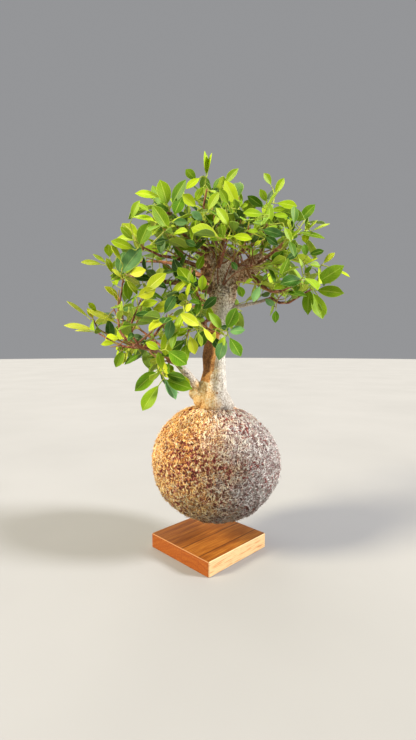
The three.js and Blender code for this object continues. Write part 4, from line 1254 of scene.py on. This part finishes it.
def fill_crown(crown, places, normals, thick, materials):
    """Fine twigs and small leaves between the frame's sprays."""
    draw = random.Random(INNER_SEED)
    shape = Shape()
    heads = [index for index, place in enumerate(places)
             if thick[index] > SHOOT_WOOD and place.z > TWIGS_FROM and normals[index].z > -0.2]
    for index in draw.sample(heads, TRUNK_TWIGS):
        heading = (normals[index] + UP * 0.5 + random_direction(draw) * 0.5).normalized()
        add_twig(shape, crown, places[index], heading, draw.uniform(30, 75) * MM, draw)
    branches = [index for index, place in enumerate(places)
                if thick[index] < SHOOT_WOOD and place.z > SHOOTS_FROM]
    roots = []
    for index in draw.sample(branches, SHOOT_TRIES):
        place = places[index]
        if any((other - place).length < SHOOT_GAP for other in roots):
            continue
        outward = (place - CROWN_MIDDLE).normalized()
        heading = (normals[index] + outward * 0.6 + UP * 0.3 + random_direction(draw) * 0.6).normalized()
        if add_shoot(shape, crown, place, heading, draw.uniform(8, 32) * MM, draw):
            roots.append(place)
    piece = shape.piece("inner_leaves", materials)


# ---------------------------------------------------------------- Wood and ball


def remeshed(node, voxel, smoothing, lumps=()):
    """An even fine mesh with a frame node's form and some round lumps, its facets smoothed away."""
    joined = bmesh.new()
    joined.from_mesh(frame["nodes"][node].data)
    for x, y, z, radius in lumps:
        place = Matrix.Translation(Vector((x, y, z)) * MM)
        bmesh.ops.create_icosphere(joined, subdivisions=3, radius=radius * MM, matrix=place)
    mesh = bpy.data.meshes.new("source")
    joined.to_mesh(mesh)
    joined.free()
    source = in_scene("source", mesh)
    remesh = source.modifiers.new("remesh", "REMESH")
    remesh.mode = "VOXEL"
    remesh.voxel_size = voxel
    smooth = source.modifiers.new("smooth", "SMOOTH")
    smooth.factor = 0.5
    smooth.iterations = smoothing
    evaluated = source.evaluated_get(bpy.context.evaluated_depsgraph_get())
    mesh = bpy.data.meshes.new_from_object(evaluated)
    mesh.materials.clear()
    bpy.data.objects.remove(source)
    return mesh


def places_and_normals(mesh):
    return [v.co.copy() for v in mesh.vertices], [v.normal.copy() for v in mesh.vertices]


def wavy(point, size, stretch=1.0):
    """Smooth noise from -1 to 1 with features of a size, drawn out along Z."""
    return noise.noise(Vector((point.x, point.y, point.z / stretch)) / size)


WOOD_VOXEL = 0.8 * MM
WOOD_SMOOTHING = 4
THICKEST = 24 * MM
# Burrs on the trunk in millimetres, each as its middle and radius: at the foot on the left, on the cut stub
# and on the head.
BURRS = ((-15, -5, 192, 9), (-10, -8, 184, 9), (50, -11, 341, 10.5), (58, -13, 346, 9.5), (44, -6, 334, 10),
         (3, -4, 352, 11), (24, -8, 350, 12), (2, -6, 335, 12), (26, -4, 322, 11))
# Round scars of lost twigs on the bark in millimetres, each as a place near it and a radius.
SCARS = ((16, -16, 203, 2.6), (16, -16, 218, 2.2), (10, -18, 194, 2), (20, -10, 232, 2), (2, -16, 208, 1.8),
         (14, -13, 262, 2), (12, 18, 205, 2.6), (-2, 16, 226, 2.2), (22, 12, 250, 2.2), (8, 16, 275, 2))
SCAR_HEIGHT = 0.8 * MM
BARK_FADE = 1.3  # how much faster than the wood's thickness the bark's relief fades
HEARTWOOD = (0.206, 0.22, 0.25, 0.28)  # the heights between which the left face is bare and brown, and painted dark as shade too
HEARTWOOD_EDGE = (0.001, 0.2, 0.24)  # where that face ends on the front: x at a height, and its lean
HEARTWOOD_END = (-0.016, -0.012)  # across, where it begins on the left
ROUGH_BARK = (0.285, 0.315)  # the bark turns rough and brown between these heights
WRINKLED = (0.29, 0.298, 0.308, 0.316)  # the heights between which the bark has wrinkles around the trunk
WRINKLE = 2.8 * MM


def window(value, low, full, still_full, high):
    """1 in the middle of a range, from full to still_full, and 0 outside it."""
    return rising(value, low, full) * rising(value, high, still_full)


def bark_height(point, rough_share):
    """How far the bark stands out from the trunk's smooth form, where the wood is thick."""
    swells = 1.1 * wavy(point, 15 * MM, 2) + 0.5 * wavy(point, 6 * MM, 2)
    grains = 0.28 * noise.noise(point / (1.6 * MM)) + 0.2 * noise.noise(point / (0.9 * MM))
    plates = 1.1 * wavy(point, 4 * MM, 1.3) + 0.6 * wavy(point, 2 * MM)
    around = point.z + 2 * MM * wavy(point, 18 * MM)
    wrinkles = 0.45 * math.sin(2 * math.pi * around / WRINKLE) * window(around, *WRINKLED)
    return (swells + grains + rough_share * plates + wrinkles) * MM


def dress_wood(material):
    """Bark over the wood. Gives the places, normals and thickness of its mesh, and a tree to find it with."""
    mesh = remeshed("trunk_and_branches", WOOD_VOXEL, WOOD_SMOOTHING, BURRS)
    places, normals = places_and_normals(mesh)
    tree = BVHTree.FromPolygons(places, [tuple(p.vertices) for p in mesh.polygons])
    scars = [(Vector(scar[:3]) * MM, scar[3] * MM) for scar in SCARS]
    values = {"thick": [], "painted_crevice_shade": [], "heart": [], "scar": []}
    x_edge, z_edge, edge_lean = HEARTWOOD_EDGE
    for vertex, place, normal in zip(mesh.vertices, places, normals):
        hit = tree.ray_cast(place - normal * 0.05 * MM, -normal, THICKEST)
        share = min(1, (hit[3] or THICKEST) / THICKEST)
        rough_share = rising(place.z, *ROUGH_BARK)
        height = bark_height(place, rough_share)
        scar = max(rising((place - middle).length, 1.5 * radius, 0.75 * radius) for middle, radius in scars)
        vertex.co = place + normal * (height * share ** BARK_FADE + SCAR_HEIGHT * scar)
        values["thick"].append(share)
        # painted shade in the bark's hollows, where its relief is lowest
        values["painted_crevice_shade"].append(rising(0.1 * rough_share - height / (2 * MM), -0.5, 0.5))
        ragged = wavy(place, 9 * MM)
        edge = x_edge + (place.z - z_edge) * edge_lean + 2.5 * MM * ragged
        bare = rising(edge - place.x, 0, 10 * MM) * rising(place.x, *HEARTWOOD_END)
        facing = rising(normal.x, 0.3, 0.1)
        values["heart"].append(bare * facing * window(place.z + 6 * MM * ragged, *HEARTWOOD))
        values["scar"].append(scar)
    for name in values:
        mesh.attributes.new(name, "FLOAT", "POINT").data.foreach_set("value", values[name])
    piece = finished_piece("trunk_bark", mesh, [material])
    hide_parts("trunk_and_branches")
    return places, normals, values["thick"], tree


BALL_VOXEL = 2 * MM
BALL_SMOOTHING = 14
BALL_SWELL = 0.6 * MM
FIBRES = 26000
FUZZ = 4000
FIBRE_SHAPES = 3
FIBRE_STEPS = 4
FIBRE_STEP = 1.6 * MM
FIBRE_RADIUS = 0.33 * MM
FIBRE_SINK = 0.15 * MM
FIBRE_LIFT = (0.1 * MM, 1.3 * MM)
FIBRE_SEED = 5
OUTSIDE = 0.2  # further from the ball's centre than its surface
COMBED = (0.155, 0.172)  # between these heights the fibres come to run out from the trunk's foot
PIT_SIZE = 3.6 * MM
PIT = -0.25  # the waviness under which the ball has a pit
PIT_BARE = 0.75  # the share of fibres that a pit lacks


def dress_ball(mat, fibre):
    """A lumpy mat with pits for the ball, and loose fibres on it."""
    mesh = remeshed("moss_cover", BALL_VOXEL, BALL_SMOOTHING)
    places, normals = places_and_normals(mesh)
    for vertex, place, normal in zip(mesh.vertices, places, normals):
        height = 1.1 * wavy(place, 9 * MM) + 1.4 * wavy(place, PIT_SIZE)
        vertex.co = place + normal * (BALL_SWELL + height * MM)
    mesh.update()
    surface = BVHTree.FromPolygons([v.co for v in mesh.vertices], [tuple(p.vertices) for p in mesh.polygons])
    piece = finished_piece("moss_mat", mesh, [mat])
    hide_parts("moss_cover")
    for number, shape in enumerate(moss_fibres(surface), 1):
        shape.piece(f"moss_fibres_{number}", [fibre])


def moss_fibres(surface):
    """Loose fibres that lie criss-cross on the ball, and a fuzz of ends that stand off it, shared out evenly
    between a few shapes."""
    draw = random.Random(FIBRE_SEED)
    shapes = [Shape() for _ in range(FIBRE_SHAPES)]
    low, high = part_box("moss_cover")
    for index in range(FIBRES + FUZZ):
        outward = random_direction(draw)
        start, normal, *_ = surface.ray_cast((low + high) / 2 + outward * OUTSIDE, -outward)
        if wavy(start, PIT_SIZE) < PIT and draw.random() < PIT_BARE:
            continue
        combed = rising(start.z, *COMBED)
        heading = random_direction(draw) + Vector((start.x, start.y, 0)).normalized() * (3 * combed)
        heading = square_to(normal, heading).normalized()
        turn = draw.uniform(-0.12, 0.12)
        lift = draw.uniform(*FIBRE_LIFT)
        loose = index >= FIBRES
        step = FIBRE_STEP * draw.uniform(0.6, 1.3) * (1 + 0.8 * combed)
        path, place = [], start
        for count in range(FIBRE_STEPS):
            share = count / (FIBRE_STEPS - 1)
            height = lift * math.sin(math.pi * share) if not loose else 3 * lift * share
            path.append(place + normal * (height - FIBRE_SINK))
            heading = (heading + normal.cross(heading) * turn).normalized()
            place, normal, *_ = surface.find_nearest(place + heading * step)
            heading = square_to(normal, heading).normalized()
        size = FIBRE_RADIUS * draw.uniform(0.6, 1.3) * (0.6 if loose else 1)
        radii = [size * 0.7, size, size, size * 0.35]
        tint = (draw.random(), 0)
        add_tube(shapes[index % FIBRE_SHAPES], path, radii, 3, 0, [(0.5, 0)] * FIBRE_STEPS, tint)
    return shapes


# ---------------------------------------------------------------- The frame's own nodes


def dress_base():
    """Materials for the nodes that stay as they are."""
    surfaces = {
        "base_housing": wood_material("base_oiled_wood", "6f3a10", "915317", "b07029", "f4d49c"),
        "base_cover": wood_material("cover_wood", "6b3a16", "8f5522", "a86c33", "a86c33"),
        "circuit_board": board_material(),
        "ring_magnet": metal_material("ring_nickel", "7d8083", "b4b7ba", 0.3),
        "lift_magnet": metal_material("lift_nickel", "7d8083", "b4b7ba", 0.3),
        "power_inlet": plastic_material(),
        "soil_core": soil_material(),
    }
    copper = metal_material("coil_copper", "8a4320", "c9733c", 0.35)
    for number in range(1, 5):
        surfaces[f"coil_{number}"] = copper
    for node, material in surfaces.items():
        mesh = frame["nodes"][node].data
        mesh.materials.clear()
        mesh.materials.append(material)


def main():
    make_camera()
    make_studio()
    leafy = [blade_material(tone) for tone in TONES] + [stem_material()]
    dress_base()
    places, normals, thick, wood = dress_wood(bark_material())
    dress_ball(moss_material(), fibre_material())
    leaves, kept, shown = dress_sprays(leafy, Growth(wood))
    fill_crown(Crown(leaves, kept, shown, wood), places, normals, thick, leafy)


main()
